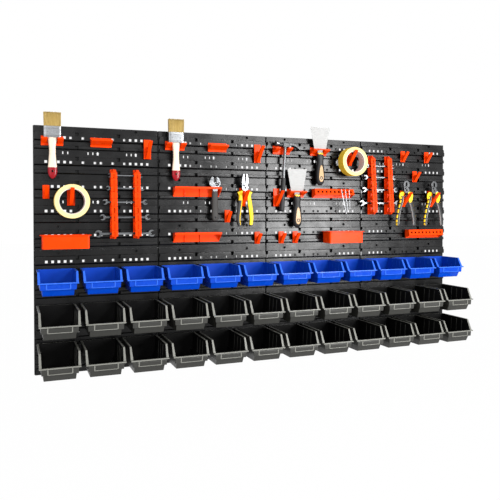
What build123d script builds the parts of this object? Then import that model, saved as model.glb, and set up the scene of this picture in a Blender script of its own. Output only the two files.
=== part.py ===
"""Pegboard tool wall: eight louvred panels, hanging bins, pegged holders and hand tools.

Millimetres. The wall plane is y = 0, the front looks along -Y and z = 0 is the seam
between the upper and the lower row of panels.
"""

import os

from build123d import *

os.makedirs("parts", exist_ok=True)

# Louvred panels: a thin moulded sheet standing off the wall on its rims.
PANEL_PITCH = 390.0
PANEL_GAP = 0.4
PANEL_COLUMNS = 4
SHEET = 2.4
RECESS_Y = -12.0
FACE_Y = -20.0
LOUVRE_PAIRS = 5
LOUVRE_PERIOD = 77.0
TALL_TOP = 19.0
TALL_HEIGHT = 25.0
TALL_SLOPE = 4.0
SHORT_DROP = 42.0
SHORT_HEIGHT = 10.0
SHORT_SLOPE = 3.0
POCKET_DEPTH = 9.0
HOLE_DROP = 17.0
HOLE_SIZE = 8.0
HOLE_PITCH = 18.6
HOLE_STEPS = (0.5, 2.5, 4.5, 5.5, 6.5, 7.5, 8.5)
FULL_ROW = 0
NOTCH_SPACING = 130.0
NOTCH_TOP = 12.0
NOTCH_BOTTOM = 7.0
NOTCH_DEPTH = 8.0
SCREW_SPACING = 244.0
SCREW_HOLE = 6.0
SCREW_RISE = 10.5

PANEL_SIDE = PANEL_PITCH - PANEL_GAP
PANEL_HALF = PANEL_PITCH / 2
SHEET_BACK_Y = RECESS_Y + SHEET
LIP_BACK_Y = FACE_Y + SHEET
PANEL_XS = [(n - (PANEL_COLUMNS - 1) / 2) * PANEL_PITCH for n in range(PANEL_COLUMNS)]
TALL_TOPS = [PANEL_HALF - TALL_TOP - n * LOUVRE_PERIOD for n in range(LOUVRE_PAIRS)]
SHORT_TOPS = [top - SHORT_DROP for top in TALL_TOPS]
PEG_ROWS = [PANEL_HALF + top - HOLE_DROP for top in TALL_TOPS]


def peg(panel, step):
    """Distance along the wall of a peg hole, counted in hole pitches from a panel's middle."""
    return PANEL_XS[panel] + step * HOLE_PITCH


# Hanging bins: half widths down the front; depth and the heights of front edge, step and floor.
BIN_PITCH = 130.0
BINS_IN_ROW = 12
BIN_WALL = 2.2
BIN_GAP = 0.3
BIN_RIM_HALF = 54.5
BIN_STEP_HALF = 51.5
BIN_BODY_HALF = 46.5
BIN_FOOT_HALF = 45.0
BIN_FRONT_LEAN = 5.0
BIN_STEP_IN = 7.0
BIN_FOOT_IN = 22.0
BIN_MOUTH_RUN = 28.0
RIM_OUT = 3.8
RIM_BAND = 4.0
BLUE_BIN = (123.0, -31.0, -53.0, -72.0)
BLACK_BIN = (178.0, -38.0, -60.0, -80.0)
LABEL_HALF = 35.0
LABEL_DEPTH = 1.0
LABEL_START = 0.36
LABEL_END = 0.88
HOOK_PLATE = 2.4
HOOK_HALF = 40.0
TONGUE_NEAR = 3.1
TONGUE_FAR = 5.5
TONGUE_DROP = 9.0
OVERSHOOT = 5.0

# Fork brackets.
PEG_SIZE = 6.4
PEG_REACH = 6.0
PLATE = 3.0
FORK_HALF = 33.0
FORK_SLOT_HALF = 15.0
FORK_RISE = 3.0
FORK_DROP = 27.0
FORK_REACH = 32.0
PRONG_TOP = 4.0
PRONG_TIP = 9.0
PRONG_ROOT = 22.0
CLOSED_FORKS = (1, 3)
FORKS = [(0, -7.5, 0), (0, 0.5, 0), (1, -7.5, 0), (1, 0.5, 0), (2, -7.5, 0), (2, 0.5, 0), (2, -4.5, 2)]

# Peg hooks: a back plate, a slanting tongue and a web between them.
HOOK_RISE = 4.0
HOOK_ROOT = 14.0
HOOK_TIP = 4.0
HOOK_FOOT = 6.0
HOOK_WEB = 4.0
WEB_PLATE = 0.78
WEB_NOTCH = (0.5, 0.68)
WEB_TIP = 0.92
TONGUE_WIDTH = 12.0
LARGE_HOOK = (64.0, 62.0, 24.0, 7.0)
SMALL_HOOK = (43.0, 39.0, 20.0, 3.0)
LARGE_HOOKS = [(0, 8.5, 0), (0, -4.5, 2), (1, 8.5, 0), (1, 5.5, 2), (2, -8.5, 2), (2, 7.5, 0), (3, -0.5, 2)]
LARGE_HOOKS += [(3, 6.5, 2)]
SMALL_HOOKS = [(0, -8.5, 2), (1, 2.5, 3), (1, 8.5, 4), (2, -7.5, 4), (2, -4.5, 4), (3, -0.5, 0), (3, 5.5, 0)]
SMALL_HOOKS += [(3, 2.5, 1)]

# Spanner racks: graded pockets with sloping mouths, deeper toward the foot.
RACK_HEIGHT = 223.0
RACK_FOOT = 12.0
RACK_WIDTH = 20.0
RACK_DEPTH_FOOT = 42.0
RACK_DEPTH_TOP = 24.0
RACK_BEVEL = 8.0
RACK_WEB = 5.0
SLOT_FIRST = 17.0
SLOT_PITCH = 27.0
SLOT_SHRINK = 1.0
SLOTS = 9
SLOT_BACK = 10.0
SLOT_WIDTH = 7.0
SLOT_SEAT = 0.26
SLOT_TOP = 0.62
MOUTH_INSIDE = 0.33
MOUTH_OUTSIDE = 0.56
MOUTH_HEIGHT = 0.25
RACKS = [(0, 2.5, 4), (0, 6.5, 4), (3, -8.5, 3), (3, -4.5, 3)]
SLOT_RUN = RACK_DEPTH_FOOT - SLOT_BACK + OVERSHOOT
SLOT_ZS = [SLOT_FIRST + n * SLOT_PITCH - SLOT_SHRINK * n * (n - 1) / 2 for n in range(SLOTS)]

# Slotted rails, holed rails and trays.
RAIL_HALF = 81.0
RAIL_RISE = 5.0
RAIL_DROP = 28.0
RAIL_REACH = 34.0
RAIL_LIP = 7.0
RAIL_PLATE = 2.6
RAIL_PEG_STEPS = 4
RAIL_SLOTS = 5
RAIL_SLOT_X = 26.0
RAIL_SLOT_Y = 15.0
RAIL_SLOT_PITCH = 30.0
RAIL_SLOT_CENTRE = 20.0
RAIL_RIBS = (-27.0, 27.0)
SLOTTED_RAILS = [(1, -3.5, 2), (1, -3.5, 4)]
HOLED_RAILS = [(2, 3.5, 2), (3, 4.5, 4)]
HOLED_REACH = 26.0
HOLED_FRONT = 22.0
HOLED_LEAN = 6.0
HOLED_COUNT = 9
HOLED_PITCH = 17.0
HOLED_SIZE = 7.0
TRAY_HALF = 70.0
TRAY_DEPTH = 52.0
TRAY_RISE = 3.0
TRAY_HEIGHT = 43.0
TRAY_WALL = 2.0
TRAY_RIM = 6.0
TRAY_CORNER = 6.0
TRAY_PEG_STEPS = 3
TRAYS = [(0, -5.5, 4), (2, 5.5, 4)]

# Flat brushes, hung by the ferrule in a fork.
BRUSH_Y = FACE_Y - PLATE - 15.0
BRUSH_FORKS = (0, 2)
SEAT_GAP = 0.3
FERRULE_HALF = 26.0
FERRULE_HALF_THICK = 8.5
FERRULE_HEIGHT = 35.0
FERRULE_CHAMFER = 3.0
BRUSH_OUTLINE = [(14, 0), (12.4, -10), (10.3, -27), (9.8, -48), (11.6, -72), (13.6, -92), (13.6, -108)]
BRUSH_OUTLINE += [(9.6, -120), (3, -127)]
BRUSH_THICK = 11.0
BRUSH_HOLE = 7.0
BRUSH_HOLE_Z = -104.0
BRISTLE_COLUMNS = 13
BRISTLE_ROWS = 5
BRISTLE_PITCH_X = 3.7
BRISTLE_PITCH_Y = 2.8
BRISTLE_RADIUS = 1.3
BRISTLE_LENGTH = 43.0
BRISTLE_SLICE = 2.0
BRISTLE_MARGIN = 1.2

# Tape rolls on two of the large hooks.
TAPE_OUTER = 53.0
TAPE_INNER = 38.0
TAPE_WIDTH = 38.0
TAPE_BACK = FACE_Y - 12.3
TAPE_DROP = 9.0
TAPE_HOOKS = (1, 5)

# Double open-ended spanners lying in the racks, largest at the foot.
SPANNER_THICK = 4.6
SPANNER_Y = FACE_Y - SLOT_BACK - SLOT_WIDTH / 2
LEFT_SPANNERS = [(0, 194.0), (2, 164.0), (4, 146.0), (6, 124.0), (8, 112.0)]
RIGHT_SPANNERS = [(1, 180.0), (3, 160.0), (5, 144.0), (7, 128.0)]
SHANK_SHARE = 0.062
HEAD_SHARE = 0.06
JAW_SHARE = 0.5
JAW_ANGLE = 15.0
HEAD_SIDES = 10

# Adjustable wrench standing in the first slotted rail.
WRENCH_SLOT = 2
WRENCH_THICK = 10.0
WRENCH_SEAT = 15.3
WRENCH_HEAD = [(-8.5, -30), (8.5, -30), (9.5, -19), (19, -9), (19, 0), (-5, 0), (-5, 15), (-10, 21), (-17, 12)]
WRENCH_HEAD += [(-21, 2), (-20, -7), (-10, -19)]
WRENCH_GRIP = [(8.5, -29), (10.4, -42), (10.6, -70), (11.2, -104), (10.6, -121), (7.6, -129), (3, -131)]
WRENCH_EYE = 3.0
WRENCH_EYE_Z = -119.0
WRENCH_JAW = [(4.5, 0.4), (4.5, 17), (8, 20), (13, 14), (18, 5), (18, 0.4)]
WORM_CENTRE = (6.5, -6.7)
WORM_RADIUS = 3.8
WORM_LENGTH = 12.0
WORM_GAP = 0.4

# Pliers and cutters: crossed halves lapped at the pivot, hung astride a large hook's tongue.
PLIER_THICK = 10.0
PLIER_Y = -45.0
PLIER_LAP_GAP = 0.3
PIVOT_RISE = 4.5
PIVOT_RADIUS = 12.0
PIVOT_SIDES = 12
PIN_RADIUS = 4.0
PIN_GAP = 0.05
NECK = [(3, 4), (12, 6), (12, 16), (0.3, 16), (0.3, 9)]
PLIER_JAW = [(0.3, 13.5), (13, 13.5), (13.2, 20), (11.8, 30), (8.8, 46), (7.5, 48.5), (0.3, 48.5)]
PLIER_GUARD = [(6, -9), (13, -11), (27, -16), (21.5, -25), (20, -44), (9, -44), (8.5, -20)]
PLIER_GRIP = [(-20, 9.5, 18), (-44, 9, 24), (-74, 13, 29), (-106, 17, 31), (-127, 16, 28), (-135, 17, 24)]
CUTTER_JAW = [(2.4, 13.5), (12.5, 13.5), (14.2, 20), (13.2, 27), (9.5, 33), (4, 37.5), (0.3, 37), (0.3, 31)]
CUTTER_JAW += [(3.4, 27), (4.4, 21)]
CUTTER_GUARD = [(6, -6), (11, -1), (20, -1), (29, -9), (30, -22), (26, -38), (20, -47), (11, -44), (9, -20)]
CUTTER_GRIP = [(-22, 11, 23), (-44, 14, 29), (-74, 24, 37.5), (-108, 31, 45), (-132, 33, 46), (-137, 35, 44)]
PLIER_HOOK = 3
CUTTER_HOOKS = (6, 7)

# Claw hammer lying across a fork.
HAMMER_FORK = 4
HAMMER_SHIFT = 9.0
HAMMER_TILT = 3.4
HAMMER_LIFT = 0.8
HAMMER_HEAD_HALF = 8.0
HAMMER_HEAD_WIDTH = 20.0
CHEEK_HALF = 12.0
POLL_RADIUS = 10.5
POLL_NECK = 7.5
POLL_START = 24.0
POLL_END = 38.0
POLL_RISE = 3.0
CLAW_TOP = [(11, 8), (24, 8), (38, 4), (52, -6), (58, -14)]
CLAW_UNDER = [(11, -6), (22, 0), (34, -2), (46, -8), (55.5, -15)]
CLAW_SPLIT = 3.0
CLAW_SPLIT_START = 27.0
SHANK_RADIUS = 5.5
SHANK_LENGTH = 118.0
GRIP_RADIUS = 9.0
GRIP_LENGTH = 120.0

# Putty knives hung by the blade's shoulders in forks.
KNIFE_FORKS = (5, 6)
BLADE = [(24, 0), (39, 79), (-39, 79), (-24, 0), (-10, 0), (-10, -30), (10, -30), (10, 0)]
BLADE_THICK = 1.4
KNIFE_HANDLE = [(12, -19), (13.6, -30), (11.5, -48), (15, -70), (17, -95), (15, -118), (9.5, -129), (3.5, -133)]
KNIFE_HANDLE_THICK = 22.0

# Hex keys hooked over the first holed rail.
KEY_XS = (22.0, 39.0, 56.0)
KEY_THICKS = (3.6, 3.2, 2.8)
KEY_LENGTHS = (96.0, 86.0, 74.0)
KEY_LEANS = (13.0, 7.5, 3.0)
KEY_SHORT = 26.0
KEY_BEND = 6.0
HEX_SIDES = 6


def prism(points, plane, amount, mode=Mode.ADD):
    """Extrude a straight-sided outline equally to both sides of its plane."""
    with BuildSketch(plane) as outline:
        with BuildLine():
            Polyline(*points, close=True)
        make_face()
    extrude(outline.sketch, amount=amount, both=True, mode=mode)


def block(x, y, z, mode=Mode.ADD):
    """A box given by its limits along the three axes."""
    middle = ((x[0] + x[1]) / 2, (y[0] + y[1]) / 2, (z[0] + z[1]) / 2)
    with Locations(middle):
        Box(abs(x[1] - x[0]), abs(y[1] - y[0]), abs(z[1] - z[0]), mode=mode)


def side_plane(x):
    """Plane across the wall at x, drawn in y and z."""
    return Plane.YZ.offset(x)


def front_plane(x, y, z):
    """Plane parallel to the wall through a point, drawn in x and z from that point."""
    return Plane(origin=(x, y, z), x_dir=(1, 0, 0), z_dir=(0, -1, 0))


def mirrored(points):
    """The same outline on the other side of the vertical axis."""
    return [(-x, z) for x, z in reversed(points)]


def closed_pair(points):
    """An outline completed by its mirror image."""
    return points + mirrored(points)


def save(node, name):
    """Label a node and write its STEP file."""
    node.part.label = name
    export_step(node.part, f"parts/{name}.step")


def sheet_outline():
    """Section through a panel: lips and pockets in front, hollows behind the tall louvres."""
    rim = PANEL_SIDE / 2
    front = [(0, rim), (RECESS_Y, rim)]
    back = [(SHEET_BACK_Y, rim - SHEET)]
    for tall, short in zip(TALL_TOPS, SHORT_TOPS):
        for top, height, slope in ((tall, TALL_HEIGHT, TALL_SLOPE), (short, SHORT_HEIGHT, SHORT_SLOPE)):
            front.append((RECESS_Y, top - POCKET_DEPTH))
            front.append((LIP_BACK_Y, top - POCKET_DEPTH))
            front.append((LIP_BACK_Y, top))
            front.append((FACE_Y, top))
            front.append((FACE_Y, top - height))
            front.append((RECESS_Y, top - height - slope))
        back.append((SHEET_BACK_Y, tall - POCKET_DEPTH - SHEET))
        back.append((LIP_BACK_Y, tall - POCKET_DEPTH - SHEET))
        back.append((LIP_BACK_Y, tall - TALL_HEIGHT))
        back.append((SHEET_BACK_Y, tall - TALL_HEIGHT - TALL_SLOPE))
    back.append((SHEET_BACK_Y, SHEET - rim))
    return front + [(RECESS_Y, -rim), (0, -rim), (0, SHEET - rim)] + back[::-1] + [(0, rim - SHEET)]


def peg_holes(panel):
    """Holes of one panel by step and row: the whole top row, and elsewhere those that carry a peg."""
    used = {(side * step, FULL_ROW) for step in HOLE_STEPS for side in (-1, 1)}
    for entries, spread, rows_up in PEGGED:
        for column, step, row in entries:
            if column == panel:
                used |= {(step + side * spread, row - up) for side in (-1, 1) for up in rows_up}
    return sorted(used)


def panel_body(holes, notched):
    """One louvred panel about its own middle, its rims on the wall plane."""
    half = PANEL_SIDE / 2
    cut = SHEET + OVERSHOOT
    prism(sheet_outline(), Plane.YZ, half)
    for x in (-half, half - SHEET):
        block((x, x + SHEET), (SHEET_BACK_Y, 0), (SHEET - half, half - SHEET))
    if holes:
        with Locations(*[(step * HOLE_PITCH, FACE_Y, TALL_TOPS[row] - HOLE_DROP) for step, row in holes]):
            Box(HOLE_SIZE, cut, HOLE_SIZE, mode=Mode.SUBTRACT)
    notch = closed_pair([(-NOTCH_TOP / 2, 0), (-NOTCH_BOTTOM / 2, -NOTCH_DEPTH)])
    for top in notched:
        for x in (-NOTCH_SPACING / 2, NOTCH_SPACING / 2):
            prism(notch, front_plane(x, FACE_Y, top), cut, Mode.SUBTRACT)
    screw_z = TALL_TOPS[0] + SCREW_RISE
    with Locations(*[Location((side * SCREW_SPACING / 2, RECESS_Y, screw_z), (90, 0, 0)) for side in (-1, 1)]):
        Cylinder(SCREW_HOLE / 2, cut, mode=Mode.SUBTRACT)


def bin_body(depth, front_z, step_z, floor_z):
    """One bin hung from its back top corner: tapered tub, sloping mouth, label frame and hook."""
    front = -depth
    step = front + BIN_FRONT_LEAN
    edge = front + BIN_FRONT_LEAN * front_z / step_z
    mouth = [(0, 0), (front + BIN_MOUTH_RUN, 0), (edge + BIN_WALL, front_z)]
    side = mouth + [(edge, front_z), (step, step_z)]
    side += [(step + BIN_STEP_IN, step_z), (front + BIN_FOOT_IN, floor_z), (0, floor_z)]
    face = [(BIN_RIM_HALF, 0), (BIN_STEP_HALF, step_z), (BIN_BODY_HALF, step_z), (BIN_FOOT_HALF, floor_z)]
    prism(side, Plane.YZ, BIN_RIM_HALF)
    prism(closed_pair(face), Plane.XZ, depth + OVERSHOOT, Mode.INTERSECT)
    band = mouth + [(edge - RIM_OUT, front_z), (edge - RIM_OUT, front_z - RIM_BAND)]
    band += [(y, z - RIM_BAND) for y, z in reversed(mouth)]
    prism(band, Plane.YZ, BIN_RIM_HALF + RIM_OUT)
    hollow = [(-BIN_WALL, OVERSHOOT), (front + BIN_WALL, OVERSHOOT), (edge + BIN_WALL, front_z)]
    hollow += [(step + BIN_WALL, step_z + BIN_WALL), (step + BIN_STEP_IN + BIN_WALL, step_z + BIN_WALL)]
    hollow += [(front + BIN_FOOT_IN + BIN_WALL, floor_z + BIN_WALL), (-BIN_WALL, floor_z + BIN_WALL)]
    inner = [(BIN_RIM_HALF - BIN_WALL, OVERSHOOT), (BIN_STEP_HALF - BIN_WALL, step_z + BIN_WALL)]
    inner += [(BIN_BODY_HALF - BIN_WALL, step_z + BIN_WALL), (BIN_FOOT_HALF - BIN_WALL, floor_z)]
    with BuildPart(mode=Mode.PRIVATE) as space:
        prism(hollow, Plane.YZ, BIN_RIM_HALF)
        prism(closed_pair(inner), Plane.XZ, depth + OVERSHOOT, Mode.INTERSECT)
    add(space.part, mode=Mode.SUBTRACT)
    label = []
    for share, inset in ((LABEL_START, 0), (LABEL_END, 0), (LABEL_END, 1), (LABEL_START, 1)):
        y = edge + share * (step - edge) + inset * LABEL_DEPTH
        y -= (1 - inset) * LABEL_DEPTH
        label.append((y, front_z + share * (step_z - front_z)))
    prism(label, Plane.YZ, LABEL_HALF, Mode.SUBTRACT)
    hook = [(-BIN_WALL / 2, 0), (TONGUE_FAR, 0), (TONGUE_FAR, -TONGUE_DROP), (TONGUE_NEAR, -TONGUE_DROP)]
    hook += [(TONGUE_NEAR, -HOOK_PLATE), (-BIN_WALL / 2, -HOOK_PLATE)]
    prism(hook, Plane.YZ, HOOK_HALF)


def pegs(x, z, spread):
    """Square pegs through the louvre wall, one or a pair."""
    for side in {-spread, spread}:
        half = PEG_SIZE / 2
        block((x + side - half, x + side + half), (FACE_Y, FACE_Y + PEG_REACH), (z - half, z + half))


def fork(x, z, closed):
    """Fork bracket: a plate with two tapering prongs, or with one block where the slot is closed."""
    block((x - FORK_HALF, x + FORK_HALF), (FACE_Y, FACE_Y - PLATE), (z - FORK_DROP, z + FORK_RISE))
    tip = FACE_Y - PLATE - FORK_REACH
    prong = [(FACE_Y, z - PRONG_TOP), (tip, z - PRONG_TOP), (tip, z - PRONG_TIP), (FACE_Y, z - PRONG_ROOT)]
    middle = (FORK_HALF + FORK_SLOT_HALF) / 2
    half = (FORK_HALF - FORK_SLOT_HALF) / 2
    for offset, width in ((0, FORK_HALF),) if closed else ((-middle, half), (middle, half)):
        prism(prong, side_plane(x + offset), width)
    pegs(x, z, 0)


def peg_hook(x, z, size):
    """Peg hook: back plate, tongue rising outward and the notched web that stiffens it."""
    height, reach, width, drop = size
    foot = z + HOOK_RISE - height
    tip = z - drop
    block((x - width / 2, x + width / 2), (FACE_Y, FACE_Y - PLATE), (foot, z + HOOK_RISE))
    tongue = [(FACE_Y, foot), (FACE_Y - HOOK_FOOT, foot), (FACE_Y - reach, tip)]
    tongue += [(FACE_Y - reach + HOOK_TIP, tip + PLATE), (FACE_Y - PLATE, foot + HOOK_ROOT)]
    prism(tongue + [(FACE_Y, foot + HOOK_ROOT)], side_plane(x), TONGUE_WIDTH / 2)
    out, up = WEB_NOTCH
    web = [(FACE_Y, foot), (FACE_Y - HOOK_FOOT - WEB_TIP * (reach - HOOK_FOOT), foot + WEB_TIP * (tip - foot))]
    web += [(FACE_Y - out * reach, foot + up * (tip - foot)), (FACE_Y, foot + WEB_PLATE * (tip - foot))]
    prism(web, side_plane(x), HOOK_WEB / 2)
    pegs(x, z, 0)


def spanner_rack(x, z):
    """Spanner rack: back plate, deepening web and front flange, with graded slots open to the front."""
    foot = z - RACK_FOOT
    top = foot + RACK_HEIGHT
    outline = [(FACE_Y, foot), (FACE_Y - RACK_DEPTH_FOOT + RACK_BEVEL, foot)]
    outline += [(FACE_Y - RACK_DEPTH_FOOT, foot + RACK_BEVEL), (FACE_Y - RACK_DEPTH_TOP, top - RACK_BEVEL)]
    outline += [(FACE_Y - RACK_DEPTH_TOP + RACK_BEVEL, top), (FACE_Y, top)]
    prism(outline, side_plane(x), RACK_WEB / 2)
    block((x - RACK_WIDTH / 2, x + RACK_WIDTH / 2), (FACE_Y, FACE_Y - PLATE), (foot, top))
    flange = [outline[2], outline[3], (outline[3][0] + PLATE, outline[3][1]), (outline[2][0] + PLATE, outline[2][1])]
    prism(flange, side_plane(x), RACK_WIDTH / 2)
    near = FACE_Y - SLOT_BACK
    inside = near - SLOT_WIDTH
    out = near - SLOT_RUN
    for n, rise in enumerate(SLOT_ZS):
        pitch = SLOT_PITCH - n
        pocket = [(near, 0), (inside, 0), (inside, MOUTH_INSIDE), (out, MOUTH_OUTSIDE)]
        pocket += [(out, MOUTH_OUTSIDE + MOUTH_HEIGHT), (inside, MOUTH_INSIDE + MOUTH_HEIGHT)]
        pocket += [(inside, SLOT_TOP), (near, SLOT_TOP)]
        seat = foot + rise - SLOT_SEAT * pitch
        prism([(y, seat + share * pitch) for y, share in pocket], side_plane(x), RACK_WIDTH, Mode.SUBTRACT)
    pegs(x, z, 0)
    pegs(x, z + 2 * LOUVRE_PERIOD, 0)


def slotted_rail(x, z):
    """Slotted rail: back plate, top plate with openings, front lip, cheeks and two ribs."""
    top = z + RAIL_RISE
    front = FACE_Y - RAIL_REACH
    block((x - RAIL_HALF, x + RAIL_HALF), (FACE_Y, FACE_Y - RAIL_PLATE), (z - RAIL_DROP, top))
    block((x - RAIL_HALF, x + RAIL_HALF), (FACE_Y, front), (top - RAIL_PLATE, top))
    block((x - RAIL_HALF, x + RAIL_HALF), (front + RAIL_PLATE, front), (top - RAIL_LIP, top))
    cheek = [(FACE_Y, top), (front, top), (front, top - RAIL_LIP), (FACE_Y, z - RAIL_DROP)]
    for side in (-1, 1):
        prism(cheek, side_plane(x + side * (RAIL_HALF - RAIL_PLATE / 2)), RAIL_PLATE / 2)
    rib = [(FACE_Y, top), (FACE_Y - RAIL_LIP, top), (FACE_Y - RAIL_LIP, z - RAIL_DROP), (FACE_Y, z - RAIL_DROP)]
    for rib_x in RAIL_RIBS:
        prism(rib, side_plane(x + rib_x - RAIL_SLOT_PITCH / 2), RAIL_PLATE / 2)
    opening = FACE_Y - RAIL_SLOT_CENTRE
    for n in range(RAIL_SLOTS):
        middle = x + (n - (RAIL_SLOTS - 1) / 2) * RAIL_SLOT_PITCH
        span = (middle - RAIL_SLOT_X / 2, middle + RAIL_SLOT_X / 2)
        gap = (opening - RAIL_SLOT_Y / 2, opening + RAIL_SLOT_Y / 2)
        block(span, gap, (top - 2 * RAIL_PLATE, top + 1), Mode.SUBTRACT)
    pegs(x, z, RAIL_PEG_STEPS * HOLE_PITCH)


def holed_rail(x, z):
    """Holed rail: an angle with a row of square holes in its leaning front."""
    top = z + RAIL_RISE
    foot = top - HOLED_FRONT
    front = FACE_Y - HOLED_REACH
    section = [(FACE_Y, top), (front, top), (front - HOLED_LEAN, foot), (front - HOLED_LEAN + RAIL_PLATE, foot)]
    section += [(front + RAIL_PLATE, top - RAIL_PLATE), (FACE_Y - RAIL_PLATE, top - RAIL_PLATE)]
    section += [(FACE_Y - RAIL_PLATE, z - RAIL_DROP), (FACE_Y, z - RAIL_DROP)]
    prism(section, side_plane(x), RAIL_HALF)
    cheek = [(FACE_Y, top), (front, top), (front - HOLED_LEAN, foot), (FACE_Y, z - RAIL_DROP)]
    for side in (-1, 1):
        prism(cheek, side_plane(x + side * (RAIL_HALF - RAIL_PLATE / 2)), RAIL_PLATE / 2)
    middle = (top + foot) / 2
    with Locations(*[(x + (n - HOLED_COUNT // 2) * HOLED_PITCH, front, middle) for n in range(HOLED_COUNT)]):
        Box(HOLED_SIZE, 2 * HOLED_LEAN, HOLED_SIZE, mode=Mode.SUBTRACT)
    pegs(x, z, RAIL_PEG_STEPS * HOLE_PITCH)


def tray_plan(x, z, margin, amount, mode=Mode.ADD):
    """Extrude the plan of a tray, grown by a margin and round at its front corners."""
    back, front = FACE_Y + min(margin, 0), FACE_Y - TRAY_DEPTH - margin
    with BuildSketch(Plane.XY.offset(z)) as plan:
        with Locations((x, (back + front) / 2)):
            Rectangle(2 * (TRAY_HALF + margin), back - front)
        fillet(plan.vertices().group_by(Axis.Y)[0], TRAY_CORNER + margin)
    extrude(plan.sketch, amount=amount, mode=mode)


def tray(x, z):
    """Open tray with round front corners and a rim that stands out at the front and sides."""
    top = z + TRAY_RISE
    tray_plan(x, top - TRAY_HEIGHT, 0, TRAY_HEIGHT)
    tray_plan(x, top - TRAY_WALL, TRAY_RIM, TRAY_WALL)
    tray_plan(x, top - TRAY_HEIGHT + TRAY_WALL, -TRAY_WALL, TRAY_HEIGHT, Mode.SUBTRACT)
    pegs(x, z, TRAY_PEG_STEPS * HOLE_PITCH)


def spanner(x, z, length):
    """Double open-ended spanner lying level, its jaws turned about fifteen degrees."""
    shank = SHANK_SHARE * length / 2
    head = HEAD_SHARE * length
    reach = length / 2 - head
    prism([(-reach, -shank), (reach, -shank), (reach, shank), (-reach, shank)],
          front_plane(x, SPANNER_Y, z), SPANNER_THICK / 2)
    for side in (-1, 1):
        with BuildSketch(front_plane(x + side * reach, SPANNER_Y, z)) as disc:
            RegularPolygon(head, HEAD_SIDES)
            jaw = Rectangle(2 * head, JAW_SHARE * 2 * head, align=(Align.MIN, Align.CENTER), mode=Mode.PRIVATE)
            start = Location((0, 0, 0), (0, 0, JAW_ANGLE if side > 0 else 180 + JAW_ANGLE))
            add(jaw.moved(start), mode=Mode.SUBTRACT)
        extrude(disc.sketch, amount=SPANNER_THICK / 2, both=True)


def plier_half(x, z, jaw, guard, grip, side):
    """Half of a pair of pliers; side +1 is the front half, whose handle is on the right."""
    half = PLIER_THICK / 2
    lap = (half - PLIER_LAP_GAP / 2) / 2
    lap_y = PLIER_Y - side * (PLIER_LAP_GAP / 2 + lap)
    lap_plane, whole_plane = front_plane(x, lap_y, z), front_plane(x, PLIER_Y, z)
    with BuildSketch(lap_plane) as disc:
        RegularPolygon(PIVOT_RADIUS, PIVOT_SIDES)
    extrude(disc.sketch, amount=lap, both=True)
    prism(mirrored(NECK) if side > 0 else NECK, lap_plane, lap)
    prism(guard if side > 0 else mirrored(guard), lap_plane, lap)
    prism(mirrored(jaw) if side > 0 else jaw, whole_plane, half)
    inner = [(side * near, drop) for drop, near, far in grip]
    outer = [(side * far, drop) for drop, near, far in grip]
    prism(inner + outer[::-1], whole_plane, half)
    with BuildSketch(whole_plane) as pin:
        Circle(PIN_RADIUS + (PIN_GAP if side > 0 else 0))
    extrude(pin.sketch, amount=half, both=True, mode=Mode.SUBTRACT if side > 0 else Mode.ADD)


def spot(entry):
    """Wall position of a holder given by panel, hole step and louvre row."""
    panel, step, row = entry
    return peg(panel, step), PEG_ROWS[row]


# Panels: the upper ones are drilled for the holders that they carry.
PEGGED = [(FORKS + LARGE_HOOKS + SMALL_HOOKS, 0, (0,)), (RACKS, 0, (0, 2))]
PEGGED += [(SLOTTED_RAILS + HOLED_RAILS, RAIL_PEG_STEPS, (0,)), (TRAYS, TRAY_PEG_STEPS, (0,))]
with BuildPart() as upper_panels:
    for column, x in enumerate(PANEL_XS):
        with BuildPart(mode=Mode.PRIVATE) as upper_panel:
            panel_body(peg_holes(column), TALL_TOPS)
        with Locations((x, 0, PANEL_HALF)):
            add(upper_panel.part)
save(upper_panels, "tool_panels")

with BuildPart() as lower_panel:
    panel_body((), TALL_TOPS[:1])

with BuildPart() as lower_panels:
    with Locations(*[(x, 0, -PANEL_HALF) for x in PANEL_XS]):
        add(lower_panel.part)
save(lower_panels, "bin_panels")

# Bins: one blue row and two black rows.
with BuildPart() as blue_bin:
    bin_body(*BLUE_BIN)

with BuildPart() as black_bin:
    bin_body(*BLACK_BIN)

BIN_ROWS = [("blue_bin", blue_bin, SHORT_TOPS[0]), ("middle_bin", black_bin, TALL_TOPS[2])]
BIN_ROWS += [("bottom_bin", black_bin, SHORT_TOPS[3])]
for prefix, master, lip in BIN_ROWS:
    rim = lip - PANEL_HALF + BIN_GAP + HOOK_PLATE
    for n in range(BINS_IN_ROW):
        with BuildPart() as hung_bin:
            with Locations(((n - (BINS_IN_ROW - 1) / 2) * BIN_PITCH, FACE_Y - BIN_GAP, rim)):
                add(master.part)
        save(hung_bin, f"{prefix}_{n + 1}")

# Pegged holders.
with BuildPart() as fork_brackets:
    for n, entry in enumerate(FORKS):
        fork(*spot(entry), n in CLOSED_FORKS)
save(fork_brackets, "fork_brackets")

with BuildPart() as peg_hooks:
    for entry in LARGE_HOOKS:
        peg_hook(*spot(entry), LARGE_HOOK)
    for entry in SMALL_HOOKS:
        peg_hook(*spot(entry), SMALL_HOOK)
save(peg_hooks, "peg_hooks")

with BuildPart() as spanner_racks:
    for entry in RACKS:
        spanner_rack(*spot(entry))
save(spanner_racks, "spanner_racks")

with BuildPart() as tool_rails:
    for entry in SLOTTED_RAILS:
        slotted_rail(*spot(entry))
    for entry in HOLED_RAILS:
        holed_rail(*spot(entry))
save(tool_rails, "tool_rails")

with BuildPart() as trays:
    for entry in TRAYS:
        tray(*spot(entry))
save(trays, "trays")

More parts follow.
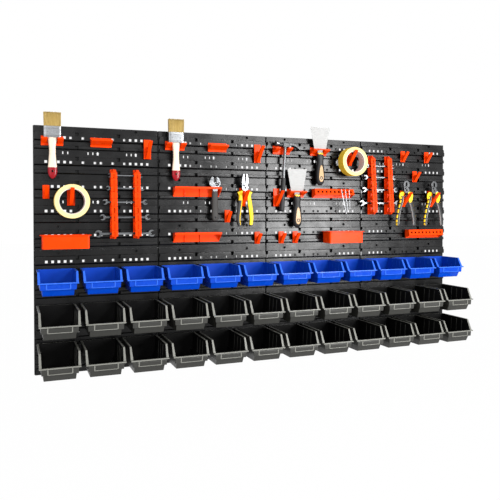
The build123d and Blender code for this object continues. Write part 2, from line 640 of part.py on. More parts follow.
# Brushes.
BRUSH_SPOTS = [spot(FORKS[n]) for n in BRUSH_FORKS]
with BuildPart() as brush_handles:
    for x, z in BRUSH_SPOTS:
        seat = z - PRONG_TOP + SEAT_GAP
        prism(closed_pair(BRUSH_OUTLINE), front_plane(x, BRUSH_Y, seat), BRUSH_THICK / 2)
        with Locations(Location((x, BRUSH_Y, seat + BRUSH_HOLE_Z), (90, 0, 0))):
            Cylinder(BRUSH_HOLE / 2, 2 * BRUSH_THICK, mode=Mode.SUBTRACT)
save(brush_handles, "brush_handles")

with BuildPart() as brush_ferrules:
    for x, z in BRUSH_SPOTS:
        seat = z - PRONG_TOP + SEAT_GAP
        with BuildSketch(Plane.XY.offset(seat)) as band:
            with Locations((x, BRUSH_Y)):
                Rectangle(2 * FERRULE_HALF, 2 * FERRULE_HALF_THICK)
            chamfer(band.vertices(), FERRULE_CHAMFER)
        extrude(band.sketch, amount=FERRULE_HEIGHT)
save(brush_ferrules, "brush_ferrules")

with BuildPart() as brush_bristles:
    for x, z in BRUSH_SPOTS:
        root = z - PRONG_TOP + SEAT_GAP + FERRULE_HEIGHT
        with BuildSketch(Plane.XY.offset(root + BRISTLE_SLICE / 2)) as strands:
            with Locations((x, BRUSH_Y)):
                with GridLocations(BRISTLE_PITCH_X, BRISTLE_PITCH_Y, BRISTLE_COLUMNS, BRISTLE_ROWS):
                    RegularPolygon(BRISTLE_RADIUS, 3)
        extrude(strands.sketch, amount=BRISTLE_LENGTH)
        width = BRISTLE_COLUMNS * BRISTLE_PITCH_X / 2 + BRISTLE_MARGIN / 2
        depth = BRISTLE_ROWS * BRISTLE_PITCH_Y / 2 + BRISTLE_MARGIN / 2
        block((x - width, x + width), (BRUSH_Y - depth, BRUSH_Y + depth), (root, root + BRISTLE_SLICE))
save(brush_bristles, "brush_bristles")

# Tape rolls.
with BuildPart() as tape_rolls:
    for n in TAPE_HOOKS:
        x, z = spot(LARGE_HOOKS[n])
        with BuildSketch(front_plane(x, TAPE_BACK, z - TAPE_DROP - TAPE_INNER)) as ring:
            Circle(TAPE_OUTER)
            Circle(TAPE_INNER, mode=Mode.SUBTRACT)
        extrude(ring.sketch, amount=TAPE_WIDTH)
save(tape_rolls, "tape_rolls")

# Spanners.
with BuildPart() as spanners:
    for rack, lengths in ((0, LEFT_SPANNERS), (2, RIGHT_SPANNERS)):
        near, z = spot(RACKS[rack])
        far, z = spot(RACKS[rack + 1])
        for slot, length in lengths:
            lift = SHANK_SHARE * length / 2 - SLOT_SEAT * (SLOT_PITCH - slot) + SEAT_GAP
            spanner((near + far) / 2, z - RACK_FOOT + SLOT_ZS[slot] + lift, length)
save(spanners, "spanners")

# Adjustable wrench.
rail_x, rail_z = spot(SLOTTED_RAILS[0])
WRENCH_X = rail_x + WRENCH_SLOT * RAIL_SLOT_PITCH
WRENCH_Y = FACE_Y - RAIL_SLOT_CENTRE
WRENCH_Z = rail_z + RAIL_RISE + WRENCH_SEAT
with BuildPart() as wrench_body:
    prism(WRENCH_HEAD, front_plane(WRENCH_X, WRENCH_Y, WRENCH_Z), WRENCH_THICK / 2)
    prism(closed_pair(WRENCH_GRIP), front_plane(WRENCH_X, WRENCH_Y, WRENCH_Z), WRENCH_THICK / 2)
    with Locations(Location((WRENCH_X, WRENCH_Y, WRENCH_Z + WRENCH_EYE_Z), (90, 0, 0))):
        Cylinder(WRENCH_EYE, 2 * WRENCH_THICK, mode=Mode.SUBTRACT)
    reach = WORM_LENGTH / 2 + WORM_GAP
    rise = WORM_RADIUS + WORM_GAP
    window_x = (WRENCH_X + WORM_CENTRE[0] - reach, WRENCH_X + WORM_CENTRE[0] + reach)
    window_z = (WRENCH_Z + WORM_CENTRE[1] - rise, WRENCH_Z + WORM_CENTRE[1] + rise)
    block(window_x, (WRENCH_Y - WRENCH_THICK, WRENCH_Y + WRENCH_THICK), window_z, Mode.SUBTRACT)
save(wrench_body, "wrench_body")

with BuildPart() as wrench_jaw:
    prism(WRENCH_JAW, front_plane(WRENCH_X, WRENCH_Y, WRENCH_Z), WRENCH_THICK / 2)
save(wrench_jaw, "wrench_jaw")

with BuildPart() as wrench_worm:
    with BuildSketch(side_plane(WRENCH_X + WORM_CENTRE[0])) as worm:
        with Locations((WRENCH_Y, WRENCH_Z + WORM_CENTRE[1])):
            Circle(WORM_RADIUS)
    extrude(worm.sketch, amount=WORM_LENGTH / 2, both=True)
save(wrench_worm, "wrench_worm")

# Pliers and cutters.
CUTTER_SHAPES = (CUTTER_JAW, CUTTER_GUARD, CUTTER_GRIP)
GRIPPERS = [("pliers", PLIER_HOOK, (PLIER_JAW, PLIER_GUARD, PLIER_GRIP))]
GRIPPERS += [(f"cutter_{n + 1}", hook, CUTTER_SHAPES) for n, hook in enumerate(CUTTER_HOOKS)]
with BuildPart() as plier_back_halves:
    for name, hook, shapes in GRIPPERS:
        x, z = spot(LARGE_HOOKS[hook])
        plier_half(x, z + PIVOT_RISE, *shapes, -1)
save(plier_back_halves, "plier_back_halves")

for name, hook, shapes in GRIPPERS:
    x, z = spot(LARGE_HOOKS[hook])
    with BuildPart() as front_half:
        plier_half(x, z + PIVOT_RISE, *shapes, 1)
    save(front_half, f"{name}_front_half")

# Claw hammer.
fork_x, fork_z = spot(FORKS[HAMMER_FORK])
HAMMER_X = fork_x + HAMMER_SHIFT
HAMMER_Z = fork_z - PRONG_TOP + SEAT_GAP + HAMMER_HEAD_HALF + HAMMER_LIFT
HAMMER_SWING = Axis((HAMMER_X, BRUSH_Y, HAMMER_Z), (0, 1, 0))
with BuildPart() as upright_head:
    block((HAMMER_X - CHEEK_HALF, HAMMER_X + CHEEK_HALF),
          (BRUSH_Y - HAMMER_HEAD_WIDTH / 2, BRUSH_Y + HAMMER_HEAD_WIDTH / 2),
          (HAMMER_Z - HAMMER_HEAD_HALF, HAMMER_Z + HAMMER_HEAD_HALF))
    with Locations(Location((HAMMER_X - POLL_START / 2, BRUSH_Y, HAMMER_Z), (0, 90, 0))):
        Cylinder(POLL_NECK, POLL_START)
    with Locations(Location((HAMMER_X - (POLL_START + POLL_END) / 2, BRUSH_Y, HAMMER_Z + POLL_RISE), (0, 90, 0))):
        Cylinder(POLL_RADIUS, POLL_END - POLL_START)
    prism(CLAW_TOP + CLAW_UNDER[::-1], front_plane(HAMMER_X, BRUSH_Y, HAMMER_Z), HAMMER_HEAD_WIDTH / 2)
    block((HAMMER_X + CLAW_SPLIT_START, HAMMER_X + 2 * POLL_END),
          (BRUSH_Y - CLAW_SPLIT / 2, BRUSH_Y + CLAW_SPLIT / 2),
          (HAMMER_Z - 2 * POLL_RADIUS, HAMMER_Z + 2 * POLL_RADIUS), Mode.SUBTRACT)
    with BuildSketch(Plane.XY.offset(HAMMER_Z)) as shank:
        with Locations((HAMMER_X, BRUSH_Y)):
            Circle(SHANK_RADIUS)
    extrude(shank.sketch, amount=-SHANK_LENGTH)

with BuildPart() as hammer_head:
    add(upright_head.part.rotate(HAMMER_SWING, HAMMER_TILT))
save(hammer_head, "hammer_head")

with BuildPart() as upright_grip:
    with BuildSketch(Plane.XY.offset(HAMMER_Z - SHANK_LENGTH)) as grip:
        with Locations((HAMMER_X, BRUSH_Y)):
            Circle(GRIP_RADIUS)
    extrude(grip.sketch, amount=-GRIP_LENGTH)

with BuildPart() as hammer_grip:
    add(upright_grip.part.rotate(HAMMER_SWING, HAMMER_TILT))
save(hammer_grip, "hammer_grip")

# Putty knives.
KNIFE_SPOTS = [spot(FORKS[n]) for n in KNIFE_FORKS]
with BuildPart() as putty_blades:
    for x, z in KNIFE_SPOTS:
        prism(BLADE, front_plane(x, BRUSH_Y, z - PRONG_TOP + SEAT_GAP), BLADE_THICK / 2)
save(putty_blades, "putty_blades")

with BuildPart() as putty_handles:
    for x, z in KNIFE_SPOTS:
        seat = z - PRONG_TOP + SEAT_GAP
        prism(closed_pair(KNIFE_HANDLE), front_plane(x, BRUSH_Y, seat), KNIFE_HANDLE_THICK / 2)
    tang = [(point[0], point[1]) for point in BLADE[4:]]
    for x, z in KNIFE_SPOTS:
        prism(tang, front_plane(x, BRUSH_Y, z - PRONG_TOP + SEAT_GAP), BLADE_THICK / 2, Mode.SUBTRACT)
save(putty_handles, "putty_handles")

# Hex keys.
rail_x, rail_z = spot(HOLED_RAILS[0])
with BuildPart() as hex_keys:
    for offset, thick, length, lean in zip(KEY_XS, KEY_THICKS, KEY_LENGTHS, KEY_LEANS):
        x = rail_x + offset
        top = rail_z + RAIL_RISE + thick / 2 + SEAT_GAP
        out = FACE_Y - HOLED_REACH - HOLED_LEAN - thick
        with BuildPart(mode=Mode.PRIVATE) as key:
            with BuildLine(side_plane(x)) as path:
                FilletPolyline((out + KEY_SHORT, top), (out, top), (out, top - length), radius=KEY_BEND)
            with BuildSketch(Plane(origin=path.line @ 0, z_dir=path.line % 0)) as section:
                RegularPolygon(thick / 2, HEX_SIDES)
            sweep(section.sketch, path=path.line)
        add(key.part.rotate(Axis((x, out, top), (0, 1, 0)), -lean))
save(hex_keys, "hex_keys")
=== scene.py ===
import math
import random

import bmesh
import bpy
from mathutils import Matrix, Vector


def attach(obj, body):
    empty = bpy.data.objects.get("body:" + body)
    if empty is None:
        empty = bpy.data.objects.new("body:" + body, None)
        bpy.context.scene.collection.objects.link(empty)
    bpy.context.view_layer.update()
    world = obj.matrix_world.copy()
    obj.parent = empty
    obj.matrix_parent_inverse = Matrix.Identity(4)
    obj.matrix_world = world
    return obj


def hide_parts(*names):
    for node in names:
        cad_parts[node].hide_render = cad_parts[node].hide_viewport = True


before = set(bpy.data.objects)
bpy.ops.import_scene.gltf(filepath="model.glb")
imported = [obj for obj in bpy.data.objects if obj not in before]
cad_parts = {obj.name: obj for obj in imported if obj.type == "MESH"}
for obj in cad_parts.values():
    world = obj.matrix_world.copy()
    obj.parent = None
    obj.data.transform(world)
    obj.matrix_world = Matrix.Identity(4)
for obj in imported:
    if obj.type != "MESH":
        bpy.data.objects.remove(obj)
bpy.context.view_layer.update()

# Studio round the wall: a pale floor well below it, a white surround, a key lamp in front and
# above that throws crisp shadows, a broad lamp on the right that lays a sheen on the panels, and a soft
# one on the left that reaches into the bins.
FLOOR_Z = -0.95
FLOOR_SIZE = 40.0
FLOOR_WHITE_SHARE = 0.985
FILL_LEVEL = 0.65
CAMERA_PLACE = (-0.838, -2.047, 0.120)
CAMERA_YAW = 22.30
CAMERA_PITCH = -0.98
CAMERA_LENS = 44.215
CAMERA_SHIFT = (-0.03, -0.055)
LAMPS = [("key_lamp", (1.0, -2.8, 1.35), (0.0, 0.0, 0.05), 0.42, 44.0),
         ("side_lamp", (1.36, -2.6, 0.22), (0.1, 0.0, 0.1), 1.0, 72.0),
         ("front_lamp", (-1.7, -2.7, 0.9), (0.0, 0.0, 0.0), 2.2, 30.0)]


def colour(code):
    """Linear colour of an sRGB hex code."""
    parts = [int(code[n:n + 2], 16) / 255 for n in (1, 3, 5)]
    linear = [c / 12.92 if c <= 0.04045 else ((c + 0.055) / 1.055) ** 2.4 for c in parts]
    return (*linear, 1.0)


def add_node(tree, kind, inputs=None, **settings):
    """Add a shader node with its settings; an input is given a value or another node's socket."""
    made = tree.nodes.new("ShaderNode" + kind)
    for name, value in settings.items():
        setattr(made, name, value)
    for name, value in (inputs or {}).items():
        if isinstance(value, bpy.types.NodeSocket):
            tree.links.new(value, made.inputs[name])
        else:
            made.inputs[name].default_value = value
    return made


def start_material(name):
    """A new material with an empty node tree."""
    material = bpy.data.materials.new(name)
    material.use_nodes = True
    material.node_tree.nodes.clear()
    return material, material.node_tree


def seen_directly(tree):
    """1 for camera, glossy and transmission rays, which see the white surround."""
    path = add_node(tree, "LightPath")
    either = add_node(tree, "Math", {0: path.outputs["Is Camera Ray"], 1: path.outputs["Is Glossy Ray"]},
                      operation="MAXIMUM")
    every = add_node(tree, "Math", {0: either.outputs[0], 1: path.outputs["Is Transmission Ray"]},
                     operation="MAXIMUM")
    return every.outputs[0]


scene = bpy.context.scene
scene.view_settings.view_transform = "Standard"

surround = bpy.data.worlds.new("white_surround")
surround.use_nodes = True
scene.world = surround
tree = surround.node_tree
tree.nodes.clear()
fill = add_node(tree, "Background", {"Color": colour("#FFFFFF"), "Strength": FILL_LEVEL})
white = add_node(tree, "Background", {"Color": colour("#FFFFFF"), "Strength": 1.0})
mixed = add_node(tree, "MixShader", {0: seen_directly(tree), 1: fill.outputs[0], 2: white.outputs[0]})
add_node(tree, "OutputWorld", {"Surface": mixed.outputs[0]})

floor_paper, tree = start_material("white_paper_floor")
matte = add_node(tree, "BsdfDiffuse", {"Color": colour("#EDEDED")})
glow = add_node(tree, "Emission", {"Color": colour("#FFFFFF"), "Strength": 1.0})
share = add_node(tree, "Math", {0: seen_directly(tree), 1: FLOOR_WHITE_SHARE}, operation="MULTIPLY")
mixed = add_node(tree, "MixShader", {0: share.outputs[0], 1: matte.outputs[0], 2: glow.outputs[0]})
add_node(tree, "OutputMaterial", {"Surface": mixed.outputs[0]})

bm = bmesh.new()
bmesh.ops.create_grid(bm, x_segments=1, y_segments=1, size=FLOOR_SIZE / 2)
bmesh.ops.translate(bm, vec=(0, 0, FLOOR_Z), verts=bm.verts)
floor_mesh = bpy.data.meshes.new("floor")
bm.to_mesh(floor_mesh)
bm.free()
floor_mesh.materials.append(floor_paper)
floor = bpy.data.objects.new("floor", floor_mesh)
scene.collection.objects.link(floor)

for name, place, aim, size, watts in LAMPS:
    lamp = bpy.data.lights.new(name, "AREA")
    lamp.shape = "DISK"
    lamp.size = size
    lamp.energy = watts
    lamp_object = bpy.data.objects.new(name, lamp)
    lamp_object.location = place
    lamp_object.rotation_euler = (Vector(aim) - Vector(place)).to_track_quat("-Z", "Y").to_euler()
    scene.collection.objects.link(lamp_object)

camera = bpy.data.cameras.new("camera")
camera.sensor_width = 36.0
camera.lens = CAMERA_LENS
camera.shift_x, camera.shift_y = CAMERA_SHIFT
camera_object = bpy.data.objects.new("camera", camera)
camera_object.location = CAMERA_PLACE
camera_object.rotation_euler = (math.radians(90 + CAMERA_PITCH), 0, math.radians(-CAMERA_YAW))
scene.collection.objects.link(camera_object)
scene.camera = camera_object

# Wall panels: eight square louvred mouldings in charcoal polypropylene, ribbed at the edges, with
# square peg holes along the tall louvres, notches in every lip and round screw bosses in the recesses.
MM = 0.001
FLOW_MM, SINK_MM = 45.0, 30.0
PANEL_PITCH = 390.0
PANEL_HALF = 194.8
PANEL_XS = [-585.0, -195.0, 195.0, 585.0]
SHEET = 2.4
RECESS_Y, FACE_Y = -12.0, -20.0
LIP_BACK_Y = FACE_Y + SHEET
TALL_TOPS = [176.0 - 77.0 * n for n in range(5)]
SHORT_TOPS = [top - 42.0 for top in TALL_TOPS]
TALL_FACE, TALL_SLOPE = 25.0, 4.0
SHORT_FACE, SHORT_SLOPE = 10.0, 3.0
POCKET = 9.0
LIP_ROUND, FOOT_ROUND = 0.9, 1.6
HOLE_PITCH, HOLE_SIZE, HOLE_DROP = 18.6, 8.0, 17.0
OPEN_STEPS = (5.5, 6.5, 7.5, 8.5)
SOCKET_STEPS = (0.5, 2.5, 4.5)
SOCKET_WALL = 1.6
NOTCH_XS = (-195.0, -65.0, 65.0, 195.0)
NOTCH_TOP, NOTCH_FOOT, NOTCH_TALL, NOTCH_SHORT, NOTCH_BACK_Y = 12.0, 9.0, 12.0, 10.0, -2.5
LIP_LEAN, LIP_HEIGHT = 0.5, 2.5
SEAM, SEAM_FLOOR_Y = 2.4, -4.0
SCREW_X, SCREW_RISE, SCREW_RADIUS, BOSS_RADIUS, BOSS_PROUD = 122.0, 10.5, 4.4, 6.4, 1.0
SCREW_LOUVRES, SCREW_SIDES = (0, 2, 4), 20
SLOT_XS, KEYHOLE_XS = (-107.0, -92.0, -30.0, -15.0, 92.0, 107.0), (0.0, 122.0)
KEYHOLE = [(-3, -5), (3, -5), (3, 1), (5, 1), (0, 6), (-5, 1), (-3, 1)]
SLOT_DROPS = (83.0, 238.0)
SLOT_WIDTH, SLOT_HEIGHT = 3.4, 8.0
CUT = 5.0
WELL_Y = -1.0
BLEND_LIMIT = 0.7
NEAR = 0.01


def prism(bm, outline, axis, start, end):
    """Extrude an outline along an axis; it is drawn in the other two axes, in the order x, y, z."""
    spread = {"x": lambda a, b: (start, a, b), "y": lambda a, b: (a, start, b),
              "z": lambda a, b: (a, b, start)}
    corners = [bm.verts.new(spread[axis](*point)) for point in outline]
    base = bm.faces.new(corners)
    raised = bmesh.ops.extrude_face_region(bm, geom=[base])["geom"]
    tops = [v for v in raised if isinstance(v, bmesh.types.BMVert)]
    step = {"x": (1, 0, 0), "y": (0, 1, 0), "z": (0, 0, 1)}[axis]
    bmesh.ops.translate(bm, vec=Vector(step) * (end - start), verts=tops)
    verts = corners + tops
    faces = list({face for v in verts for face in v.link_faces})
    bmesh.ops.recalc_face_normals(bm, faces=faces)
    return verts


def span(middle, half):
    """Limits either side of a middle."""
    return middle - half, middle + half


def shifted(outline, x, z, way=1):
    """An outline moved to a place, and mirrored where way is -1."""
    return [(x + way * px, z + pz) for px, pz in outline]


def slab(bm, x, y, z):
    """A box given by its limits."""
    return prism(bm, [(x[0], y[0]), (x[1], y[0]), (x[1], y[1]), (x[0], y[1])], "z", z[0], z[1])


def soften(bm, edges, width, segments=2):
    """Round edges over."""
    bmesh.ops.bevel(bm, geom=edges, offset=width, offset_type="OFFSET", affect="EDGES", segments=segments,
                    profile=0.5, material=-1, clamp_overlap=True)


def sharp_edges(bm, degrees=24):
    """Edges whose faces meet at more than an angle."""
    limit = math.radians(degrees)
    return [e for e in bm.edges if len(e.link_faces) == 2 and e.calc_face_angle(0) > limit]


def place_piece(bm, name, body, slot, materials, *nodes):
    """Turn a shape drawn in millimetres into a piece on a body, standing for CAD nodes. Flat faces stay flat
    and rounded edges blend into them, since each corner's normal leans to the larger faces round it."""
    bm.faces.index_update()
    bm.normal_update()
    areas = [face.calc_area() for face in bm.faces]
    corners = []
    for face in bm.faces:
        for vert in face.verts:
            total = Vector()
            for other in vert.link_faces:
                if other.normal.dot(face.normal) > BLEND_LIMIT:
                    total += other.normal * areas[other.index]
            corners.append(total.normalized() if total.length else face.normal.copy())
    bmesh.ops.scale(bm, vec=(MM, MM, MM), verts=bm.verts)
    mesh = bpy.data.meshes.new(name)
    bm.to_mesh(mesh)
    bm.free()
    mesh.polygons.foreach_set("use_smooth", [True] * len(mesh.polygons))
    mesh.normals_split_custom_set(corners)
    for material in materials:
        mesh.materials.append(material)
    made = bpy.data.objects.new(name, mesh)
    scene.collection.objects.link(made)
    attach(made, body)
    if nodes:
        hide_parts(*nodes)
    return made


def join_shape(target, shape):
    """Add one shape to another."""
    mesh = bpy.data.meshes.new("copy")
    shape.to_mesh(mesh)
    shape.free()
    target.from_mesh(mesh)
    bpy.data.meshes.remove(mesh)


def combine(body, other, operation):
    """Two shapes cut or joined into one; both are used up."""
    objects = []
    for shape in (body, other):
        mesh = bpy.data.meshes.new("blank")
        shape.to_mesh(mesh)
        shape.free()
        blank = bpy.data.objects.new("blank", mesh)
        scene.collection.objects.link(blank)
        objects.append(blank)
    boolean = objects[0].modifiers.new("combine", "BOOLEAN")
    boolean.operation, boolean.solver, boolean.object = operation, "EXACT", objects[1]
    result = objects[0].evaluated_get(bpy.context.evaluated_depsgraph_get())
    made = bmesh.new()
    made.from_mesh(result.to_mesh())
    result.to_mesh_clear()
    for blank in objects:
        mesh = blank.data
        bpy.data.objects.remove(blank)
        bpy.data.meshes.remove(mesh)
    return made


def revolve(bm, profile, x, z, sides, material=0):
    """Turn a closed outline of radius and y round an axis that stands out from the wall."""
    part = bmesh.new()
    rows = []
    for n in range(sides):
        turn = 2 * math.pi * n / sides
        rows.append([part.verts.new((x + r * math.cos(turn), y, z + r * math.sin(turn))) for r, y in profile])
    for n in range(sides):
        for k in range(len(profile)):
            part.faces.new((rows[n - 1][k - 1], rows[n - 1][k], rows[n][k],
                            rows[n][k - 1])).material_index = material
    bmesh.ops.recalc_face_normals(part, faces=part.faces)
    join_shape(bm, part)


def noise(tree, place, size_mm, detail):
    """Noise whose spots are about a given size."""
    made = add_node(tree, "TexNoise", {"Vector": place, "Scale": 1 / (size_mm * MM), "Detail": detail})
    return made.outputs[0]


def between(tree, share, low_code, high_code):
    """A colour between two, by a share that varies over the surface."""
    made = add_node(tree, "Mix", {0: share, 6: colour(low_code), 7: colour(high_code)}, data_type="RGBA")
    return made.outputs[2]


def relief(tree, height, strength, distance=0.0004, **inputs):
    """A normal that leans with a height."""
    made = add_node(tree, "Bump", {"Strength": strength, "Distance": distance, "Height": height, **inputs})
    return made.outputs[0]


def end_material(tree, shade, roughness, normal, inputs):
    """The skin of a material, joined to its output."""
    skin = add_node(tree, "BsdfPrincipled", {"Base Color": shade, "Roughness": roughness, "Normal": normal,
                                             **inputs})
    add_node(tree, "OutputMaterial", {"Surface": skin.outputs[0]})


def moulded_plastic(name, code, dark_code, roughness, grain_mm=0.9, grain=0.06, specular=0.5):
    """Injection-moulded plastic: an even colour with faint flow marks, a spark-eroded grain that breaks the
    gloss up, and a slow waviness from sink marks. The grain is drawn coarser than life so that it shows."""
    material, tree = start_material(name)
    place = add_node(tree, "TexCoord").outputs["Object"]
    flow = noise(tree, place, FLOW_MM, 3.0)
    gloss = add_node(tree, "MapRange", {0: flow, 1: 0.3, 2: 0.7, 3: roughness - 0.05, 4: roughness + 0.06})
    wave = relief(tree, noise(tree, place, SINK_MM, 1.0), 0.25, 0.0012)
    rough = relief(tree, noise(tree, place, grain_mm, 2.0), grain, Normal=wave)
    end_material(tree, between(tree, flow, dark_code, code), gloss.outputs[0], rough,
                 {"IOR": 1.49, "Specular IOR Level": specular})
    return material


panel_plastic = moulded_plastic("charcoal_polypropylene", "#080809", "#060607", 0.25, grain=0.03,
                                specular=0.28)


def louvred_panel(open_rows):
    """One panel about its own middle: the louvred sheet with its edge rims, pegged, notched and drilled."""
    pegged = TALL_TOPS[:open_rows]
    front = [(0, PANEL_HALF), (RECESS_Y, PANEL_HALF)]
    back = [(RECESS_Y + SHEET, PANEL_HALF - SHEET)]
    for tall, short in zip(TALL_TOPS, SHORT_TOPS):
        for top, face, slope in ((tall, TALL_FACE, TALL_SLOPE), (short, SHORT_FACE, SHORT_SLOPE)):
            front += [(RECESS_Y, top - POCKET), (LIP_BACK_Y, top - POCKET), (LIP_BACK_Y, top),
                      (FACE_Y + LIP_LEAN, top), (FACE_Y, top - LIP_HEIGHT)]
            front += [(FACE_Y, top - face), (RECESS_Y, top - face - slope)]
        back += [(RECESS_Y + SHEET, tall - POCKET - SHEET), (LIP_BACK_Y, tall - POCKET - SHEET)]
        back += [(LIP_BACK_Y, tall - TALL_FACE), (RECESS_Y + SHEET, tall - TALL_FACE - TALL_SLOPE)]
    foot = [(RECESS_Y, -PANEL_HALF), (0, -PANEL_HALF), (0, SHEET - PANEL_HALF),
            (RECESS_Y + SHEET, SHEET - PANEL_HALF)]
    sheet = bmesh.new()
    prism(sheet, front + foot + back[::-1] + [(0, PANEL_HALF - SHEET)], "x", SEAM - PANEL_HALF,
          PANEL_HALF - SEAM)
    long_edges = [e for e in sheet.edges if abs(e.verts[0].co.x - e.verts[1].co.x) > PANEL_HALF]
    crests = TALL_TOPS + SHORT_TOPS
    feet = [top - TALL_FACE for top in TALL_TOPS] + [top - SHORT_FACE for top in SHORT_TOPS]
    lips = [e for e in long_edges if min(abs(e.verts[0].co.z - z) for z in crests) < NEAR]
    hems = [e for e in long_edges if min(abs(e.verts[0].co.z - z) for z in feet) < NEAR
            and abs(e.verts[0].co.y - FACE_Y) < NEAR]
    soften(sheet, lips, LIP_ROUND, 3)
    soften(sheet, hems, FOOT_ROUND, 3)

    cutter = bmesh.new()
    for top in pegged:
        for step in OPEN_STEPS + SOCKET_STEPS:
            for side in (-1, 1):
                x, z, half = side * step * HOLE_PITCH, top - HOLE_DROP, HOLE_SIZE / 2
                slab(cutter, span(x, half), (FACE_Y - CUT, LIP_BACK_Y + CUT), span(z, half))
    notches = [(x, top, depth) for tops, depth in ((TALL_TOPS, NOTCH_TALL), (SHORT_TOPS, NOTCH_SHORT))
               for top in tops for x in NOTCH_XS]
    for x, top, depth in notches:
        notch = [(x - NOTCH_TOP / 2, top + 1), (x - NOTCH_FOOT / 2, top - depth),
                 (x + NOTCH_FOOT / 2, top - depth), (x + NOTCH_TOP / 2, top + 1)]
        prism(cutter, notch, "y", FACE_Y - CUT, NOTCH_BACK_Y)
    for drop in SLOT_DROPS if open_rows > 1 else ():
        z = PANEL_HALF - drop
        for x in SLOT_XS:
            slab(cutter, span(x, SLOT_WIDTH / 2), span(RECESS_Y, CUT), span(z, SLOT_HEIGHT / 2))
        for x in KEYHOLE_XS:
            prism(cutter, shifted(KEYHOLE, x, z), "y", *span(RECESS_Y, CUT))
    upright = Matrix.Rotation(math.radians(90), 4, "X")
    screws = [(side * SCREW_X, TALL_TOPS[n] + SCREW_RISE) for n in SCREW_LOUVRES if n < open_rows
              for side in (-1, 1)]
    for x, z in screws:
        bmesh.ops.create_cone(cutter, cap_ends=True, segments=SCREW_SIDES, radius1=SCREW_RADIUS,
                              radius2=SCREW_RADIUS, depth=2 * CUT,
                              matrix=Matrix.Translation((x, RECESS_Y, z)) @ upright)
    panel = combine(sheet, cutter, "DIFFERENCE")

    for x, z in screws:
        crest = RECESS_Y - BOSS_PROUD
        boss = [(SCREW_RADIUS, WELL_Y), (SCREW_RADIUS, crest), (BOSS_RADIUS, crest), (BOSS_RADIUS, WELL_Y)]
        revolve(panel, boss, x, z, SCREW_SIDES)
        bmesh.ops.create_circle(panel, cap_ends=True, segments=SCREW_SIDES, radius=SCREW_RADIUS,
                                matrix=Matrix.Translation((x, WELL_Y, z)) @ upright)
    for x, top, depth in notches:
        left, right = max(x - NOTCH_TOP, -PANEL_HALF), min(x + NOTCH_TOP, PANEL_HALF)
        slab(panel, (left, right), (NOTCH_BACK_Y, NOTCH_BACK_Y + 1), (top - depth - SHEET, top + SHEET))
    for top in pegged:
        for step in SOCKET_STEPS:
            for side in (-1, 1):
                x, z = side * step * HOLE_PITCH, top - HOLE_DROP
                for half in (HOLE_SIZE / 2, HOLE_SIZE / 2 + SOCKET_WALL):
                    verts = slab(panel, span(x, half), (LIP_BACK_Y, WELL_Y), span(z, half))
                    ends = {f for v in verts for f in v.link_faces if abs(f.normal.y) > 0.5}
                    bmesh.ops.delete(panel, geom=list(ends), context="FACES_ONLY")
    for side in (-1, 1):
        inner, outer = PANEL_HALF - SEAM - SHEET, PANEL_HALF - SEAM
        rim, seam = sorted((side * inner, side * outer)), sorted((side * outer, side * PANEL_HALF))
        slab(panel, rim, (RECESS_Y + SHEET, 0), (SHEET - PANEL_HALF, PANEL_HALF - SHEET))
        slab(panel, seam, (SEAM_FLOOR_Y, 0), (-PANEL_HALF, PANEL_HALF))
    return panel


for name, node_name, row_z, open_rows in (("tool_panel_mouldings", "tool_panels", PANEL_PITCH / 2, 5),
                                          ("bin_panel_mouldings", "bin_panels", -PANEL_PITCH / 2, 1)):
    panel = louvred_panel(open_rows)
    row = bmesh.new()
    for x in PANEL_XS:
        moved = panel.copy()
        bmesh.ops.translate(moved, vec=(x, 0, row_z), verts=moved.verts)
        join_shape(row, moved)
    panel.free()
    place_piece(row, name, "wall", "panel_plastic", [panel_plastic], node_name)

# Bins: open-fronted polypropylene tubs, twelve blue ones and two rows of deeper black ones. Each
# hangs by a hook on a louvre lip, has a turned-out rim, stiffening ribs inside and a label frame.
# The rims and label frames are a lighter copy of the plastic, a painted highlight, and the black bins'
# insides a darker copy, painted shade.
BIN_COUNT, BIN_PITCH = 12, 130.0
BIN_WALL = 2.2
BIN_RIM_HALF, BIN_STEP_HALF, BIN_BODY_HALF, BIN_FOOT_HALF = 54.5, 51.5, 46.5, 45.0
BIN_MOUTH_RUN, BIN_LEAN, BIN_STEP_IN, BIN_FOOT_IN = 28.0, 5.0, 7.0, 22.0
BLUE_BIN, BLACK_BIN = (123.0, -31.0, -53.0, -72.0), (178.0, -38.0, -60.0, -80.0)
BLUE_RIBS, BLACK_RIBS = (-38, -62, -84), (-62, -92, -122)
RIM_OUT, RIM_BAND, BIN_SILL = 3.8, 4.0, 2.5
BIN_HOOK = [(-1.1, 0), (5.5, 0), (5.5, -9), (3.1, -9), (3.1, -2.4), (-1.1, -2.4)]
BIN_HOOK_HALF = 40.0
LABEL_HALF, POST_WIDTH, FRAME_PROUD = 34.0, 3.4, 1.6
LABEL_BAR, LABEL_FOOT = (1.2, 3.4), 2.0
BIN_RIB_PROUD, BIN_RIB_WIDTH, RIB_TOP = 1.7, 3.0, -7.0
BIN_INSIDE, BIN_PAINTED_HIGHLIGHT = 1, 2
HOOK_GAP, HOOK_THICK = 0.3, 2.4
BIN_BACK_Y = FACE_Y - HOOK_GAP
INSIDE_SLACK = 0.5
HOLLOW_SIDE, HOLLOW_FRONT, HOLLOW_TOP = 0.3, 0.5, 5.0
BIN_ROUND, RIB_ROUND, BAR_ROUND = 0.75, 0.8, 0.35
RIB_SUNK, BAR_SUNK = 0.4, 0.5

